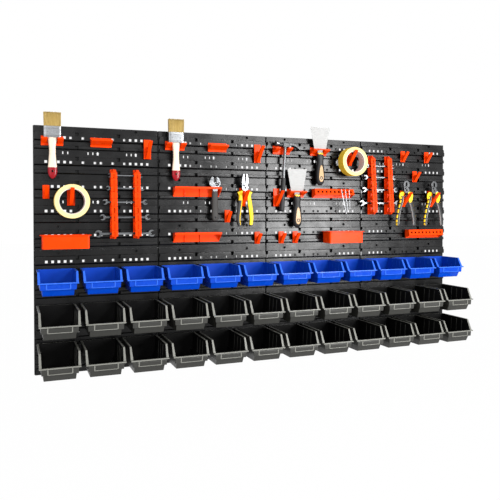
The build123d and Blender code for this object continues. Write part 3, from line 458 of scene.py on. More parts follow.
blue_plastic = moulded_plastic("blue_polypropylene", "#0340B4", "#0238A4", 0.26, specular=0.15)
black_plastic = moulded_plastic("black_polypropylene", "#2C2C28", "#242421", 0.4, specular=0.45)
# The inside copy of the black plastic is far darker than the outside: painted shade for the bins' hollows.
black_inside_painted_shade = moulded_plastic("black_polypropylene_inside_painted_shade", "#0E0E0E", "#0A0A0A", 0.6, grain=0.12,
                               specular=0.12)
# The rim copies are lighter than the plastic they edge: a painted highlight on the rims, the front rim band
# and the label frame.
black_rim_painted_highlight = moulded_plastic("black_polypropylene_rim_painted_highlight", "#787872", "#6A6A64", 0.3, specular=0.5)
blue_rim_painted_highlight = moulded_plastic("blue_polypropylene_rim_painted_highlight", "#2A64D6", "#2158C6", 0.26, specular=0.3)
blue_inside = moulded_plastic("blue_polypropylene_inside", "#0340B4", "#0238A4", 0.5, grain=0.12,
                              specular=0.12)


def stacked(rings):
    """A closed tapering solid with a flat back, through levels of half width, front, back and height."""
    solid = bmesh.new()
    rows = [[solid.verts.new(p) for p in ((-half, far, z), (-half, near, z), (half, near, z), (half, far, z))]
            for half, near, far, z in rings]
    for low, high in zip(rows, rows[1:]):
        for k in range(3):
            solid.faces.new((low[k], low[k + 1], high[k + 1], high[k]))
    solid.faces.new(rows[0])
    solid.faces.new(rows[-1])
    solid.faces.new([row[0] for row in rows] + [row[3] for row in reversed(rows)])
    bmesh.ops.recalc_face_normals(solid, faces=solid.faces)
    return solid


def bin_shell(depth, front_z, step_z, floor_z, ribs):
    """One bin hung from its back top corner."""
    front = -depth
    step = front + BIN_LEAN
    lean = lambda z: front + BIN_LEAN * z / step_z
    edge = lean(front_z)
    sill = edge + BIN_WALL + BIN_SILL
    rings = [(BIN_RIM_HALF, front, 0, 0.0), (BIN_STEP_HALF, step, 0, step_z),
             (BIN_BODY_HALF, step + BIN_STEP_IN, 0, step_z), (BIN_FOOT_HALF, front + BIN_FOOT_IN, 0, floor_z)]
    tub = stacked(rings)
    bmesh.ops.bisect_plane(tub, geom=tub.verts[:] + tub.edges[:] + tub.faces[:], dist=1e-4,
                           plane_co=(0, front + BIN_MOUTH_RUN, 0),
                           plane_no=(0, front_z, front + BIN_MOUTH_RUN - sill), clear_outer=True)
    bmesh.ops.holes_fill(tub, edges=[e for e in tub.edges if e.is_boundary], sides=0)
    bmesh.ops.recalc_face_normals(tub, faces=tub.faces)
    rim = bmesh.new()
    mouth = [(0, 0), (front + BIN_MOUTH_RUN, 0), (sill, front_z), (edge - RIM_OUT, front_z),
             (edge - RIM_OUT, front_z - RIM_BAND), (sill, front_z - RIM_BAND),
             (front + BIN_MOUTH_RUN, -RIM_BAND), (0, -RIM_BAND)]
    prism(rim, mouth, "x", *span(0, BIN_RIM_HALF + RIM_OUT))
    hollow = [(BIN_RIM_HALF - BIN_WALL + HOLLOW_SIDE, front + BIN_WALL - HOLLOW_FRONT, -BIN_WALL, HOLLOW_TOP),
              (BIN_STEP_HALF - BIN_WALL, step + BIN_WALL, -BIN_WALL, step_z + BIN_WALL),
              (BIN_BODY_HALF - BIN_WALL, step + BIN_STEP_IN + BIN_WALL, -BIN_WALL, step_z + BIN_WALL),
              (BIN_FOOT_HALF - BIN_WALL, front + BIN_FOOT_IN + BIN_WALL, -BIN_WALL, floor_z + BIN_WALL)]
    tub = combine(combine(tub, rim, "UNION"), stacked(hollow), "DIFFERENCE")
    bmesh.ops.dissolve_limit(tub, angle_limit=math.radians(0.5), verts=tub.verts, edges=tub.edges)
    soften(tub, sharp_edges(tub, 15), BIN_ROUND)
    tub.normal_update()
    # Faces in the hollow take the inside material, a darker painted shade in the black bins and only rougher
    # in the blue; rim tops and the front rim band take the lighter rim material, a painted highlight.
    for face in tub.faces:
        x, y, z = face.calc_center_median()
        upper, lower = hollow[:2] if z > step_z + BIN_WALL / 2 else hollow[2:]
        share = (upper[3] - z) / (upper[3] - lower[3])
        half, near = (upper[n] + (lower[n] - upper[n]) * share for n in (0, 1))
        within = abs(x) < half + INSIDE_SLACK and near - INSIDE_SLACK < y < INSIDE_SLACK - BIN_WALL
        face.material_index = BIN_INSIDE if within and z > floor_z + BIN_WALL - INSIDE_SLACK else 0
        if z > front_z - RIM_BAND and (face.normal.z > 0.4 or face.normal.y < -0.9 and y < edge):
            face.material_index = BIN_PAINTED_HIGHLIGHT

    prism(tub, BIN_HOOK, "x", *span(0, BIN_HOOK_HALF))
    inner_top, inner_foot = BIN_RIM_HALF - BIN_WALL, BIN_STEP_HALF - BIN_WALL
    for y in ribs:
        for side in (-1, 1):
            rib = bmesh.new()
            slab(rib, (-BIN_RIB_PROUD, RIB_SUNK), span(y, BIN_RIB_WIDTH / 2), (step_z + LABEL_FOOT, RIB_TOP))
            for v in rib.verts:
                share = v.co.z / step_z
                v.co.x = side * (v.co.x + inner_top + (inner_foot - inner_top) * share)
            bmesh.ops.recalc_face_normals(rib, faces=rib.faces)
            soften(rib, sharp_edges(rib), RIB_ROUND)
            join_shape(tub, rib)
    bars = [(span(side * LABEL_HALF, POST_WIDTH / 2), step_z + LABEL_FOOT, front_z - RIM_BAND)
            for side in (-1, 1)]
    bars.append((span(0, LABEL_HALF), step_z + LABEL_BAR[0], step_z + LABEL_BAR[1]))
    for ends, low, high in bars:
        bar = bmesh.new()
        prism(bar, [(lean(low) + BAR_SUNK, low), (lean(low) - FRAME_PROUD, low),
                    (lean(high) - FRAME_PROUD, high), (lean(high) + BAR_SUNK, high)], "x", *ends)
        soften(bar, sharp_edges(bar), BAR_ROUND)
        # The label frame takes the lighter rim material, a painted highlight.
        for face in bar.faces:
            face.material_index = BIN_PAINTED_HIGHLIGHT
        join_shape(tub, bar)
    return tub


blues, blacks = [blue_plastic, blue_inside, blue_rim_painted_highlight], [black_plastic, black_inside_painted_shade, black_rim_painted_highlight]
for prefix, sizes, ribs, lip, slot, plastics in (
        ("blue_bin", BLUE_BIN, BLUE_RIBS, SHORT_TOPS[0], "blue_plastic", blues),
        ("middle_bin", BLACK_BIN, BLACK_RIBS, TALL_TOPS[2], "black_plastic", blacks),
        ("bottom_bin", BLACK_BIN, BLACK_RIBS, SHORT_TOPS[3], "black_plastic", blacks)):
    rim_z = lip - PANEL_PITCH / 2 + HOOK_GAP + HOOK_THICK
    pattern = bin_shell(*sizes, ribs)
    for n in range(BIN_COUNT):
        tub = pattern.copy()
        x = (n - (BIN_COUNT - 1) / 2) * BIN_PITCH
        bmesh.ops.translate(tub, vec=(x, BIN_BACK_Y, rim_z), verts=tub.verts)
        node_name = f"{prefix}_{n + 1}"
        place_piece(tub, f"{node_name}_tub", node_name, slot, plastics, node_name)
    pattern.free()

# Pegged holders: orange polypropylene mouldings whose square pegs push through the louvre holes. Forks
# have a plate and two prongs; hooks have a plate, a slanting tongue and a notched web behind it.
PEG_HALF, PEG_REACH = 3.2, 6.0
PLATE = 3.0
PLATE_ROUND, PRONG_ROUND, TONGUE_ROUND, WEB_ROUND, PEG_ROUND = 1.2, 1.3, 1.1, 0.8, 0.7
FORK_HALF, FORK_SLOT_HALF, FORK_RISE, FORK_DROP = 33.0, 15.0, 3.0, 27.0
PRONG_REACH, PRONG_TOP, PRONG_TIP, PRONG_ROOT = 35.0, 4.0, 9.0, 22.0
LARGE_HOOK, SMALL_HOOK = (64.0, 62.0, 24.0, 7.0), (43.0, 39.0, 20.0, 3.0)
HOOK_RISE, HOOK_FOOT, TONGUE_TIP, TONGUE_ROOT, TONGUE_HALF = 4.0, 6.0, 4.0, 14.0, 6.0
WEB_HALF, WEB_END, WEB_NOTCH, WEB_TOP = 2.0, 0.92, (0.5, 0.68), 0.78
PEG_ROWS = [PANEL_PITCH / 2 + top - HOLE_DROP for top in TALL_TOPS]
CLOSED_FORKS, BARRED_FORKS, PRONG_BAR = (1, 3), (5, 6), 4.5
FORKS = [(0, -7.5, 0), (0, 0.5, 0), (1, -7.5, 0), (1, 0.5, 0), (2, -7.5, 0), (2, 0.5, 0), (2, -4.5, 2)]
LARGE_HOOKS = [(0, 8.5, 0), (0, -4.5, 2), (1, 8.5, 0), (1, 5.5, 2), (2, -8.5, 2), (2, 7.5, 0), (3, -0.5, 2),
               (3, 6.5, 2)]
SMALL_HOOKS = [(0, -8.5, 2), (1, 2.5, 3), (1, 8.5, 4), (2, -7.5, 4), (2, -4.5, 4), (3, -0.5, 0), (3, 5.5, 0),
               (3, 2.5, 1)]

orange_plastic = moulded_plastic("orange_polypropylene", "#F24103", "#E43A02", 0.27, specular=0.08)


def spot(entry):
    """Wall position of a holder given by panel, hole step and louvre row."""
    panel, step, row = entry
    return PANEL_XS[panel] + step * HOLE_PITCH, PEG_ROWS[row]


def rounded_box(bm, x, y, z, radius):
    """A box with all its edges rounded."""
    part = bmesh.new()
    slab(part, x, y, z)
    soften(part, part.edges[:], radius)
    join_shape(bm, part)


def rounded_prism(bm, outline, axis, start, end, radius, segments=2, material=0):
    """An extruded outline with its edges rounded."""
    part = bmesh.new()
    prism(part, outline, axis, start, end)
    soften(part, sharp_edges(part), radius, segments)
    for face in part.faces:
        face.material_index = material
    join_shape(bm, part)


def add_pegs(bm, x, z, *offsets):
    """Square pegs through the louvre wall."""
    for offset in offsets or (0,):
        middle = x + offset * HOLE_PITCH
        rounded_box(bm, span(middle, PEG_HALF), (FACE_Y - 1, FACE_Y + PEG_REACH), span(z, PEG_HALF),
                    PEG_ROUND)


forks = bmesh.new()
for n, (x, z) in enumerate(map(spot, FORKS)):
    rounded_box(forks, span(x, FORK_HALF), (FACE_Y - PLATE, FACE_Y), (z - FORK_DROP, z + FORK_RISE),
                PLATE_ROUND)
    tip = FACE_Y - PRONG_REACH
    prong = [(FACE_Y - 1, z - PRONG_TOP), (tip, z - PRONG_TOP), (tip, z - PRONG_TIP),
             (FACE_Y - 1, z - PRONG_ROOT)]
    split = ((-FORK_HALF, -FORK_SLOT_HALF), (FORK_SLOT_HALF, FORK_HALF))
    for near, far in ((-FORK_HALF, FORK_HALF),) if n in CLOSED_FORKS else split:
        rounded_prism(forks, prong, "x", x + near, x + far, PRONG_ROUND)
    if n in BARRED_FORKS:
        rounded_box(forks, span(x, FORK_SLOT_HALF + 1), (tip, tip + PRONG_BAR),
                    (z - PRONG_TIP, z - PRONG_TOP), PLATE_ROUND)
    add_pegs(forks, x, z)
place_piece(forks, "fork_mouldings", "wall", "orange_plastic", [orange_plastic], "fork_brackets")

hooks = bmesh.new()
for entries, (height, reach, width, drop) in ((LARGE_HOOKS, LARGE_HOOK), (SMALL_HOOKS, SMALL_HOOK)):
    for x, z in map(spot, entries):
        foot, tip = z + HOOK_RISE - height, z - drop
        rounded_box(hooks, span(x, width / 2), (FACE_Y - PLATE, FACE_Y), (foot, z + HOOK_RISE), PLATE_ROUND)
        tongue = [(FACE_Y - 1, foot), (FACE_Y - HOOK_FOOT, foot), (FACE_Y - reach, tip),
                  (FACE_Y - reach + TONGUE_TIP, tip + PLATE), (FACE_Y - PLATE, foot + TONGUE_ROOT),
                  (FACE_Y - 1, foot + TONGUE_ROOT)]
        rounded_prism(hooks, tongue, "x", *span(x, TONGUE_HALF), TONGUE_ROUND)
        run, rise = reach - HOOK_FOOT, tip - foot
        web = [(FACE_Y - 1, foot + 2), (FACE_Y - HOOK_FOOT - WEB_END * run, foot + WEB_END * rise),
               (FACE_Y - WEB_NOTCH[0] * reach, foot + WEB_NOTCH[1] * rise),
               (FACE_Y - 1, foot + WEB_TOP * rise)]
        rounded_prism(hooks, web, "x", *span(x, WEB_HALF), WEB_ROUND)
        add_pegs(hooks, x, z)
place_piece(hooks, "hook_mouldings", "wall", "orange_plastic", [orange_plastic], "peg_hooks")

# Spanner racks: orange uprights, deeper toward the foot, with a back plate, a thin web and rounded front
# lobes; a spanner goes in by one of nine sloping mouths and drops into the pocket behind the front strip.
RACK_FOOT, RACK_HEIGHT, RACK_HALF, RACK_WEB_HALF = 12.0, 223.0, 10.0, 2.5
RACK_DEPTH_FOOT, RACK_DEPTH_TOP, RACK_BEVEL = 42.0, 24.0, 8.0
SLOT_FIRST, SLOT_PITCH, SLOT_BACK, RACK_SLOTS = 17.0, 27.0, 10.0, 9
SLOT_SEAT, SLOT_POCKET = 0.26, 7.0
SLIT, SLOT_ROUND = 1.6, 0.5
POCKET_TOP, MOUTH_INSIDE, MOUTH_OUTSIDE, MOUTH_HEIGHT = 0.62, 0.33, 0.56, 0.25
SLOT_RUN = RACK_DEPTH_FOOT - SLOT_BACK + CUT
RACKS = [(0, 2.5, 4), (0, 6.5, 4), (3, -8.5, 3), (3, -4.5, 3)]
RACK_PEGS_APART = TALL_TOPS[0] - TALL_TOPS[2]


def slot_rise(n):
    """Height of a slot above the rack's foot; the slots close up toward the top."""
    return SLOT_FIRST + n * SLOT_PITCH - n * (n - 1) / 2


def rack_shape():
    """One rack about the middle of its foot."""
    nose = [(FACE_Y - RACK_DEPTH_FOOT, RACK_BEVEL), (FACE_Y - RACK_DEPTH_TOP, RACK_HEIGHT - RACK_BEVEL)]
    side = [(FACE_Y - 1, 0), (FACE_Y - RACK_DEPTH_FOOT + RACK_BEVEL, 0), *nose,
            (FACE_Y - RACK_DEPTH_TOP + RACK_BEVEL, RACK_HEIGHT), (FACE_Y - 1, RACK_HEIGHT)]
    web, front, slots, slits = bmesh.new(), bmesh.new(), bmesh.new(), bmesh.new()
    prism(web, side, "x", *span(0, RACK_WEB_HALF))
    prism(front, nose + shifted(nose[::-1], PLATE, 0), "x", *span(0, RACK_HALF))
    near = FACE_Y - SLOT_BACK
    for n in range(RACK_SLOTS):
        pitch = SLOT_PITCH - n
        seat = slot_rise(n) - SLOT_SEAT * pitch
        inside, out = near - SLOT_POCKET, near - SLOT_RUN
        slot = [(near, 0), (inside, 0), (inside, MOUTH_INSIDE), (out, MOUTH_OUTSIDE),
                (out, MOUTH_OUTSIDE + MOUTH_HEIGHT), (inside, MOUTH_INSIDE + MOUTH_HEIGHT),
                (inside, POCKET_TOP), (near, POCKET_TOP)]
        prism(slots, [(y, seat + share * pitch) for y, share in slot], "x", *span(0, 2 * RACK_HALF))
        crest = seat + (MOUTH_OUTSIDE + MOUTH_HEIGHT / 2) * pitch
        slab(slits, span(0, 2 * RACK_HALF), (out, inside), (crest - SLIT, crest))
    rack = combine(web, slots, "DIFFERENCE")
    soften(rack, sharp_edges(rack), SLOT_ROUND)
    soften(front, front.edges[:], PLATE_ROUND)
    join_shape(rack, combine(front, slits, "DIFFERENCE"))
    rounded_box(rack, span(0, RACK_HALF), (FACE_Y - PLATE, FACE_Y), (0, RACK_HEIGHT), PLATE_ROUND)
    return rack


racks = bmesh.new()
pattern = rack_shape()
for x, z in map(spot, RACKS):
    rack = pattern.copy()
    bmesh.ops.translate(rack, vec=(x, 0, z - RACK_FOOT), verts=rack.verts)
    join_shape(racks, rack)
    add_pegs(racks, x, z)
    add_pegs(racks, x, z + RACK_PEGS_APART)
pattern.free()
place_piece(racks, "rack_mouldings", "wall", "orange_plastic", [orange_plastic], "spanner_racks")

# Rails and trays: orange mouldings on two pegs. A slotted rail is a shelf with five openings and a front
# lip; a holed rail is an angle with nine square holes in its leaning front, each lined with a black sleeve
# that is painted shade; a tray has a turned-out rim.
RAIL_HALF, RAIL_RISE, RAIL_DROP, RAIL_REACH, RAIL_LIP, RAIL_PLATE = 81.0, 5.0, 28.0, 34.0, 7.0, 2.6
RAIL_SLOTS, RAIL_SLOT_X, RAIL_SLOT_Y, RAIL_SLOT_PITCH, RAIL_SLOT_CENTRE = 5, 26.0, 15.0, 30.0, 20.0
RAIL_RIBS, RAIL_ROUND = (-42.0, 12.0), 0.7
SLOTTED_RAILS = [(1, -3.5, 2), (1, -3.5, 4)]
HOLED_RAILS = [(2, 3.5, 2), (3, 4.5, 4)]
HOLED_REACH, HOLED_FRONT, HOLED_LEAN, HOLED_COUNT, HOLED_PITCH, HOLED_HALF = 26.0, 22.0, 6.0, 9, 17.0, 3.5
SLEEVE_DEPTH = 10.0
RAIL_PEGS, TRAY_PEGS = (-4, 4), (-3, 3)
TRAY_HALF, TRAY_DEPTH, TRAY_RISE, TRAY_HEIGHT = 70.0, 52.0, 3.0, 43.0
TRAY_WALL, TRAY_RIM, TRAY_CORNER, TRAY_ROUND = 2.0, 6.0, 6.0, 0.6
TRAYS = [(0, -5.5, 4), (2, 5.5, 4)]

rails = bmesh.new()


def add_cheeks(x, outline):
    """The two end walls of a rail."""
    for side in (-1, 1):
        middle = x + side * (RAIL_HALF - RAIL_PLATE / 2)
        rounded_prism(rails, outline, "x", *span(middle, RAIL_PLATE / 2), RAIL_ROUND)


for x, z in map(spot, SLOTTED_RAILS):
    top, foot, front = z + RAIL_RISE, z - RAIL_DROP, FACE_Y - RAIL_REACH
    shelf, openings = bmesh.new(), bmesh.new()
    section = [(FACE_Y, top), (front, top), (front, top - RAIL_LIP), (front + RAIL_PLATE, top - RAIL_LIP),
               (front + RAIL_PLATE, top - RAIL_PLATE), (FACE_Y - RAIL_PLATE, top - RAIL_PLATE),
               (FACE_Y - RAIL_PLATE, foot), (FACE_Y, foot)]
    prism(shelf, section, "x", *span(x, RAIL_HALF))
    for n in range(RAIL_SLOTS):
        middle = x + (n - (RAIL_SLOTS - 1) / 2) * RAIL_SLOT_PITCH
        depth = FACE_Y - RAIL_SLOT_CENTRE
        slab(openings, span(middle, RAIL_SLOT_X / 2), span(depth, RAIL_SLOT_Y / 2),
             (top - 2 * RAIL_PLATE, top + 1))
    shelf = combine(shelf, openings, "DIFFERENCE")
    soften(shelf, sharp_edges(shelf), RAIL_ROUND)
    join_shape(rails, shelf)
    cheek = [(FACE_Y, top - 0.5), (front + 0.5, top - 0.5), (front + 0.5, top - RAIL_LIP), (FACE_Y, foot)]
    add_cheeks(x, cheek)
    for offset in RAIL_RIBS:
        rounded_box(rails, span(x + offset, RAIL_PLATE / 2), (FACE_Y - RAIL_LIP, FACE_Y - 1), (foot, top - 1),
                    RAIL_ROUND)
    add_pegs(rails, x, z, *RAIL_PEGS)
for x, z in map(spot, HOLED_RAILS):
    top, foot, front = z + RAIL_RISE, z + RAIL_RISE - HOLED_FRONT, FACE_Y - HOLED_REACH
    angle, holes = bmesh.new(), bmesh.new()
    section = [(FACE_Y, top), (front, top), (front - HOLED_LEAN, foot),
               (front - HOLED_LEAN + RAIL_PLATE, foot), (front + RAIL_PLATE, top - RAIL_PLATE),
               (FACE_Y - RAIL_PLATE, top - RAIL_PLATE), (FACE_Y - RAIL_PLATE, z - RAIL_DROP),
               (FACE_Y, z - RAIL_DROP)]
    prism(angle, section, "x", *span(x, RAIL_HALF))
    height = (top + foot) / 2
    middles = [x + (n - HOLED_COUNT // 2) * HOLED_PITCH for n in range(HOLED_COUNT)]
    for middle in middles:
        slab(holes, span(middle, HOLED_HALF), span(front, 2 * HOLED_LEAN), span(height, HOLED_HALF))
    angle = combine(angle, holes, "DIFFERENCE")
    soften(angle, sharp_edges(angle), RAIL_ROUND)
    # Black sleeves line the holes, painted shade so that they read dark.
    for middle in middles:
        for half in (HOLED_HALF, HOLED_HALF + 1):
            sleeve = slab(angle, span(middle, half), (front - 1, front + SLEEVE_DEPTH + half),
                          span(height, half))
            for face in {f for v in sleeve for f in v.link_faces}:
                face.material_index = 1
            mouth = [f for v in sleeve for f in v.link_faces if f.normal.y < -0.5]
            bmesh.ops.delete(angle, geom=list(set(mouth)), context="FACES_ONLY")
    join_shape(rails, angle)
    cheek = [(FACE_Y, top - 0.5), (front, top - 0.5), (front - HOLED_LEAN + 0.5, foot),
             (FACE_Y, z - RAIL_DROP)]
    add_cheeks(x, cheek)
    add_pegs(rails, x, z, *RAIL_PEGS)
place_piece(rails, "rail_mouldings", "wall", "orange_plastic", [orange_plastic, black_inside_painted_shade], "tool_rails")


def tray_outline(x, half, depth, corner):
    """A tray's plan: square at the back and round at its front corners."""
    points = [(x - half, FACE_Y), (x + half, FACE_Y)]
    for side, turns in ((1, range(0, 5)), (-1, range(4, -1, -1))):
        for n in turns:
            turn = math.radians(22.5 * n)
            points.append((x + side * (half - corner + corner * math.cos(turn)),
                           FACE_Y - depth + corner - corner * math.sin(turn)))
    return points


trays = bmesh.new()
for x, z in map(spot, TRAYS):
    top = z + TRAY_RISE
    tub, rim, hollow = bmesh.new(), bmesh.new(), bmesh.new()
    prism(tub, tray_outline(x, TRAY_HALF, TRAY_DEPTH, TRAY_CORNER), "z", top - TRAY_HEIGHT, top)
    prism(rim, tray_outline(x, TRAY_HALF + TRAY_RIM, TRAY_DEPTH + TRAY_RIM, TRAY_CORNER + TRAY_RIM), "z",
          top - TRAY_WALL, top)
    plan = tray_outline(x, TRAY_HALF - TRAY_WALL, TRAY_DEPTH - TRAY_WALL, TRAY_CORNER - TRAY_WALL)
    plan = [(px, min(py, FACE_Y - TRAY_WALL)) for px, py in plan]
    prism(hollow, plan, "z", top - TRAY_HEIGHT + TRAY_WALL, top + CUT)
    tub = combine(combine(tub, rim, "UNION"), hollow, "DIFFERENCE")
    soften(tub, sharp_edges(tub, 40), TRAY_ROUND)
    join_shape(trays, tub)
    add_pegs(trays, x, z, *TRAY_PEGS)
place_piece(trays, "tray_mouldings", "wall", "orange_plastic", [orange_plastic], "trays")

# Flat paint brushes: blond bristles in a bright tinned ferrule, nailed to a pale wooden handle whose
# tip is dipped in red lacquer and drilled; each hangs by its ferrule in a fork.
SEAT_GAP = 0.3
TOOL_Y = FACE_Y - PLATE - 15.0
BRUSHES = (0, 2)
FERRULE_HALF, FERRULE_THICK, FERRULE_HEIGHT = 26.0, 8.5, 35.0
FERRULE_BEADS = [(0, -0.7), (0.8, 0), (5, 0), (6, 0.5), (7, 0), (26, 0), (27, 0.5), (28, 0), (34.2, 0),
                 (35, -0.5)]
HANDLE_CURVE = [(0, 14.0, 6.5), (-10, 12.4, 6.2), (-27, 10.3, 5.5), (-48, 9.8, 5.3), (-72, 11.6, 5.5),
                (-92, 13.6, 5.5), (-108, 13.6, 5.3), (-120, 9.6, 4.6), (-127, 3.0, 2.0)]
DIP_Z, HANDLE_HOLE_Z, HANDLE_HOLE = -90.0, -104.0, 3.5
BRISTLE_LENGTH, BRISTLE_COLUMNS, BRISTLE_ROWS = 44.0, 36, 9
BRISTLE_ROOT, BRISTLE_TIP, HAIR_HALF, HAIR_THICK = 0.75, 0.5, 24.4, 7.2
FERRULE_OVAL = (40, 7)
BRISTLE_SPREAD, BRISTLE_STRAY, BRISTLE_UNEVEN = (0.8, 0.4), (0.45, 0.4), (-1.6, 0.9)
BRISTLE_TAPER, BRISTLE_CORNER = 0.6, 2.1
HAIR_BLOCK = [(0, 24.6, 7.4), (0.5, 24.8, 7.5), (0.9, 25.2, 7.2)]
NAIL_X, NAIL_RISE, NAIL_RADIUS = 14, 16, 1.5
DRILL_LENGTH, DRILL_SIDES = 40.0, 24

rng = random.Random(7)


def grained(name, light, dark, roughness, stretch, length_mm, specular=0.5, metallic=0.0, bump=0.12):
    """A surface streaked along one axis, such as wood, hair or brushed metal: stretch gives the grain's
    length along each axis against its width, so that fine dark lines run along the piece."""
    material, tree = start_material(name)
    place = add_node(tree, "TexCoord").outputs["Object"]
    pulled = add_node(tree, "Mapping", {"Vector": place, "Scale": [1 / s for s in stretch]})
    lines = noise(tree, pulled.outputs[0], length_mm, 4.0)
    steps = add_node(tree, "MapRange", {0: lines, 1: 0.32, 2: 0.68})
    gloss = add_node(tree, "MapRange", {0: lines, 1: 0.3, 2: 0.7, 3: roughness + 0.06, 4: roughness - 0.05})
    end_material(tree, between(tree, steps.outputs[0], dark, light), gloss.outputs[0],
                 relief(tree, lines, bump), {"Metallic": metallic, "Specular IOR Level": specular})
    return material


def smooth_curve(points, steps=4):
    """Points along a soft curve through a few given ones."""
    made = []
    for n in range(len(points) - 1):
        four = [Vector(points[min(max(n + k, 0), len(points) - 1)]) for k in (-1, 0, 1, 2)]
        for step in range(steps):
            t = step / steps
            bend = 2 * four[0] - 5 * four[1] + 4 * four[2] - four[3]
            twist = 3 * four[1] - four[0] - 3 * four[2] + four[3]
            made.append(0.5 * (2 * four[1] + (four[2] - four[0]) * t + bend * t ** 2 + twist * t ** 3))
    return made + [Vector(points[-1])]


def oval(x, y, z, half_x, half_y, sides=20, power=2.4):
    """A level ring; a higher power squares it off."""
    ring = []
    for n in range(sides):
        c, s = math.cos(2 * math.pi * n / sides), math.sin(2 * math.pi * n / sides)
        ring.append((x + half_x * math.copysign(abs(c) ** (2 / power), c),
                     y + half_y * math.copysign(abs(s) ** (2 / power), s), z))
    return ring


def loft(bm, rings, paint=None):
    """A closed skin through rings of equal count; paint gives the material of a face by ring and side."""
    part = bmesh.new()
    rows = [[part.verts.new(p) for p in ring] for ring in rings]
    for n, (low, high) in enumerate(zip(rows, rows[1:])):
        for k in range(len(low)):
            face = part.faces.new((low[k - 1], low[k], high[k], high[k - 1]))
            face.material_index = paint(n, k) if paint else 0
    for n, row in ((0, rows[0]), (len(rows) - 2, rows[-1])):
        part.faces.new(row).material_index = paint(n, 0) if paint else 0
    bmesh.ops.recalc_face_normals(part, faces=part.faces)
    join_shape(bm, part)


def loft_ovals(bm, x, y, z, levels, sides=20, power=2.4, paint=None):
    """A closed skin through level ovals, each given by its rise, half width and half depth."""
    loft(bm, [oval(x, y, z + rise, half, thick, sides, power) for rise, half, thick in levels], paint)


def drill(bm, x, z, y, radius):
    """A round hole through a shape from front to back."""
    bit = bmesh.new()
    bmesh.ops.create_cone(bit, cap_ends=True, segments=DRILL_SIDES, radius1=radius, radius2=radius,
                          depth=DRILL_LENGTH,
                          matrix=Matrix.Translation((x, y, z)) @ Matrix.Rotation(math.radians(90), 4, "X"))
    return combine(bm, bit, "DIFFERENCE")


pale_wood = grained("varnished_beech", "#E0D0BC", "#D2BFA8", 0.38, (1, 1, 14), 2.2, bump=0.05)
red_lacquer = moulded_plastic("red_dip_lacquer", "#900315", "#7C0210", 0.24, specular=0.25)
tinned_steel = grained("tinned_steel", "#8E9092", "#7A7C7F", 0.3, (9, 9, 1), 1.1, metallic=0.85, bump=0.04)
bristle_hair = grained("hog_bristle", "#B59C5B", "#92773B", 0.55, (1, 1, 30), 0.9, specular=0.25, bump=0.3)

handles, ferrules, hairs = bmesh.new(), bmesh.new(), bmesh.new()
for x, z in (spot(FORKS[n]) for n in BRUSHES):
    seat = z - PRONG_TOP + SEAT_GAP
    curve = smooth_curve(HANDLE_CURVE)
    handle = bmesh.new()
    loft_ovals(handle, x, TOOL_Y, seat, curve, paint=lambda ring, side: int(curve[ring][0] < DIP_Z))
    join_shape(handles, drill(handle, x, seat + HANDLE_HOLE_Z, TOOL_Y, HANDLE_HOLE))
    sleeve = [(rise, FERRULE_HALF + out, FERRULE_THICK + out) for rise, out in FERRULE_BEADS]
    loft_ovals(ferrules, x, TOOL_Y, seat, sleeve, *FERRULE_OVAL)
    for side in (-1, 1):
        nail = bmesh.new()
        middle = (x + side * NAIL_X, TOOL_Y - FERRULE_THICK, seat + NAIL_RISE)
        bmesh.ops.create_uvsphere(nail, u_segments=12, v_segments=8, radius=NAIL_RADIUS,
                                  matrix=Matrix.Translation(middle))
        join_shape(ferrules, nail)
    root = seat + FERRULE_HEIGHT - 1
    block = [(share * BRISTLE_LENGTH, half, thick) for share, half, thick in HAIR_BLOCK]
    loft_ovals(hairs, x, TOOL_Y, root, block, *FERRULE_OVAL)
    for column in range(BRISTLE_COLUMNS):
        for row in range(BRISTLE_ROWS):
            u, v = 2 * column / (BRISTLE_COLUMNS - 1) - 1, 2 * row / (BRISTLE_ROWS - 1) - 1
            foot = Vector((x + HAIR_HALF * u, TOOL_Y + HAIR_THICK * v, root))
            aside, out = (reach * way + rng.uniform(-stray, stray)
                          for way, reach, stray in zip((u, v), BRISTLE_SPREAD, BRISTLE_STRAY))
            lean = Vector((aside, out, BRISTLE_LENGTH + rng.uniform(*BRISTLE_UNEVEN)))
            corners = [BRISTLE_CORNER * k + column for k in range(3)]
            rings = []
            for share, radius in ((0, BRISTLE_ROOT), (BRISTLE_TAPER, BRISTLE_ROOT), (1, BRISTLE_TIP)):
                middle = foot + lean * share
                rings.append([middle + Vector((radius * math.cos(turn), radius * math.sin(turn), 0))
                              for turn in corners])
            loft(hairs, rings)
place_piece(handles, "brush_handle_wood", "wall", "pale_wood", [pale_wood, red_lacquer], "brush_handles")
place_piece(ferrules, "brush_ferrule_sleeves", "wall", "ferrule_steel", [tinned_steel], "brush_ferrules")
place_piece(hairs, "brush_bristle_hair", "wall", "bristle_hair", [bristle_hair], "brush_bristles")

# Masking tape: two wound rolls, creamy on the cut face and yellower on the outside, on paper cores; they
# hang on large hooks.
TAPE_OUTER, TAPE_INNER, TAPE_WIDTH, TAPE_CORE = 53.0, 38.0, 38.0, 2.2
TAPE_BACK, TAPE_DROP = FACE_Y - 12.3, 9.0
TAPE_SIDES = 96
LAYER_MM, CREPE_MM = 9.0, 4.0
TAPE_HOOKS = (1, 5)


def wound_tape(name, code, dark_code, x, z):
    """Crepe paper tape wound on itself: matte and warm, with rings on the cut face about the roll's middle.
    Real layers are far finer, and are drawn this coarse so that they show."""
    material, tree = start_material(name)
    place = add_node(tree, "TexCoord").outputs["Object"]
    centred = add_node(tree, "Mapping", {"Vector": place, "Location": (-x * MM, 0, -z * MM)})
    layers = add_node(tree, "TexWave", {"Vector": centred.outputs[0], "Scale": 1 / (LAYER_MM * MM),
                                        "Distortion": 0.6, "Detail": 2.0},
                      wave_type="RINGS", rings_direction="Y")
    both = add_node(tree, "Math", {0: layers.outputs["Fac"], 1: noise(tree, place, CREPE_MM, 3.0)},
                    operation="MULTIPLY").outputs[0]
    end_material(tree, between(tree, both, code, dark_code), 0.55, relief(tree, both, 0.15, 0.0003),
                 {"Specular IOR Level": 0.3})
    return material


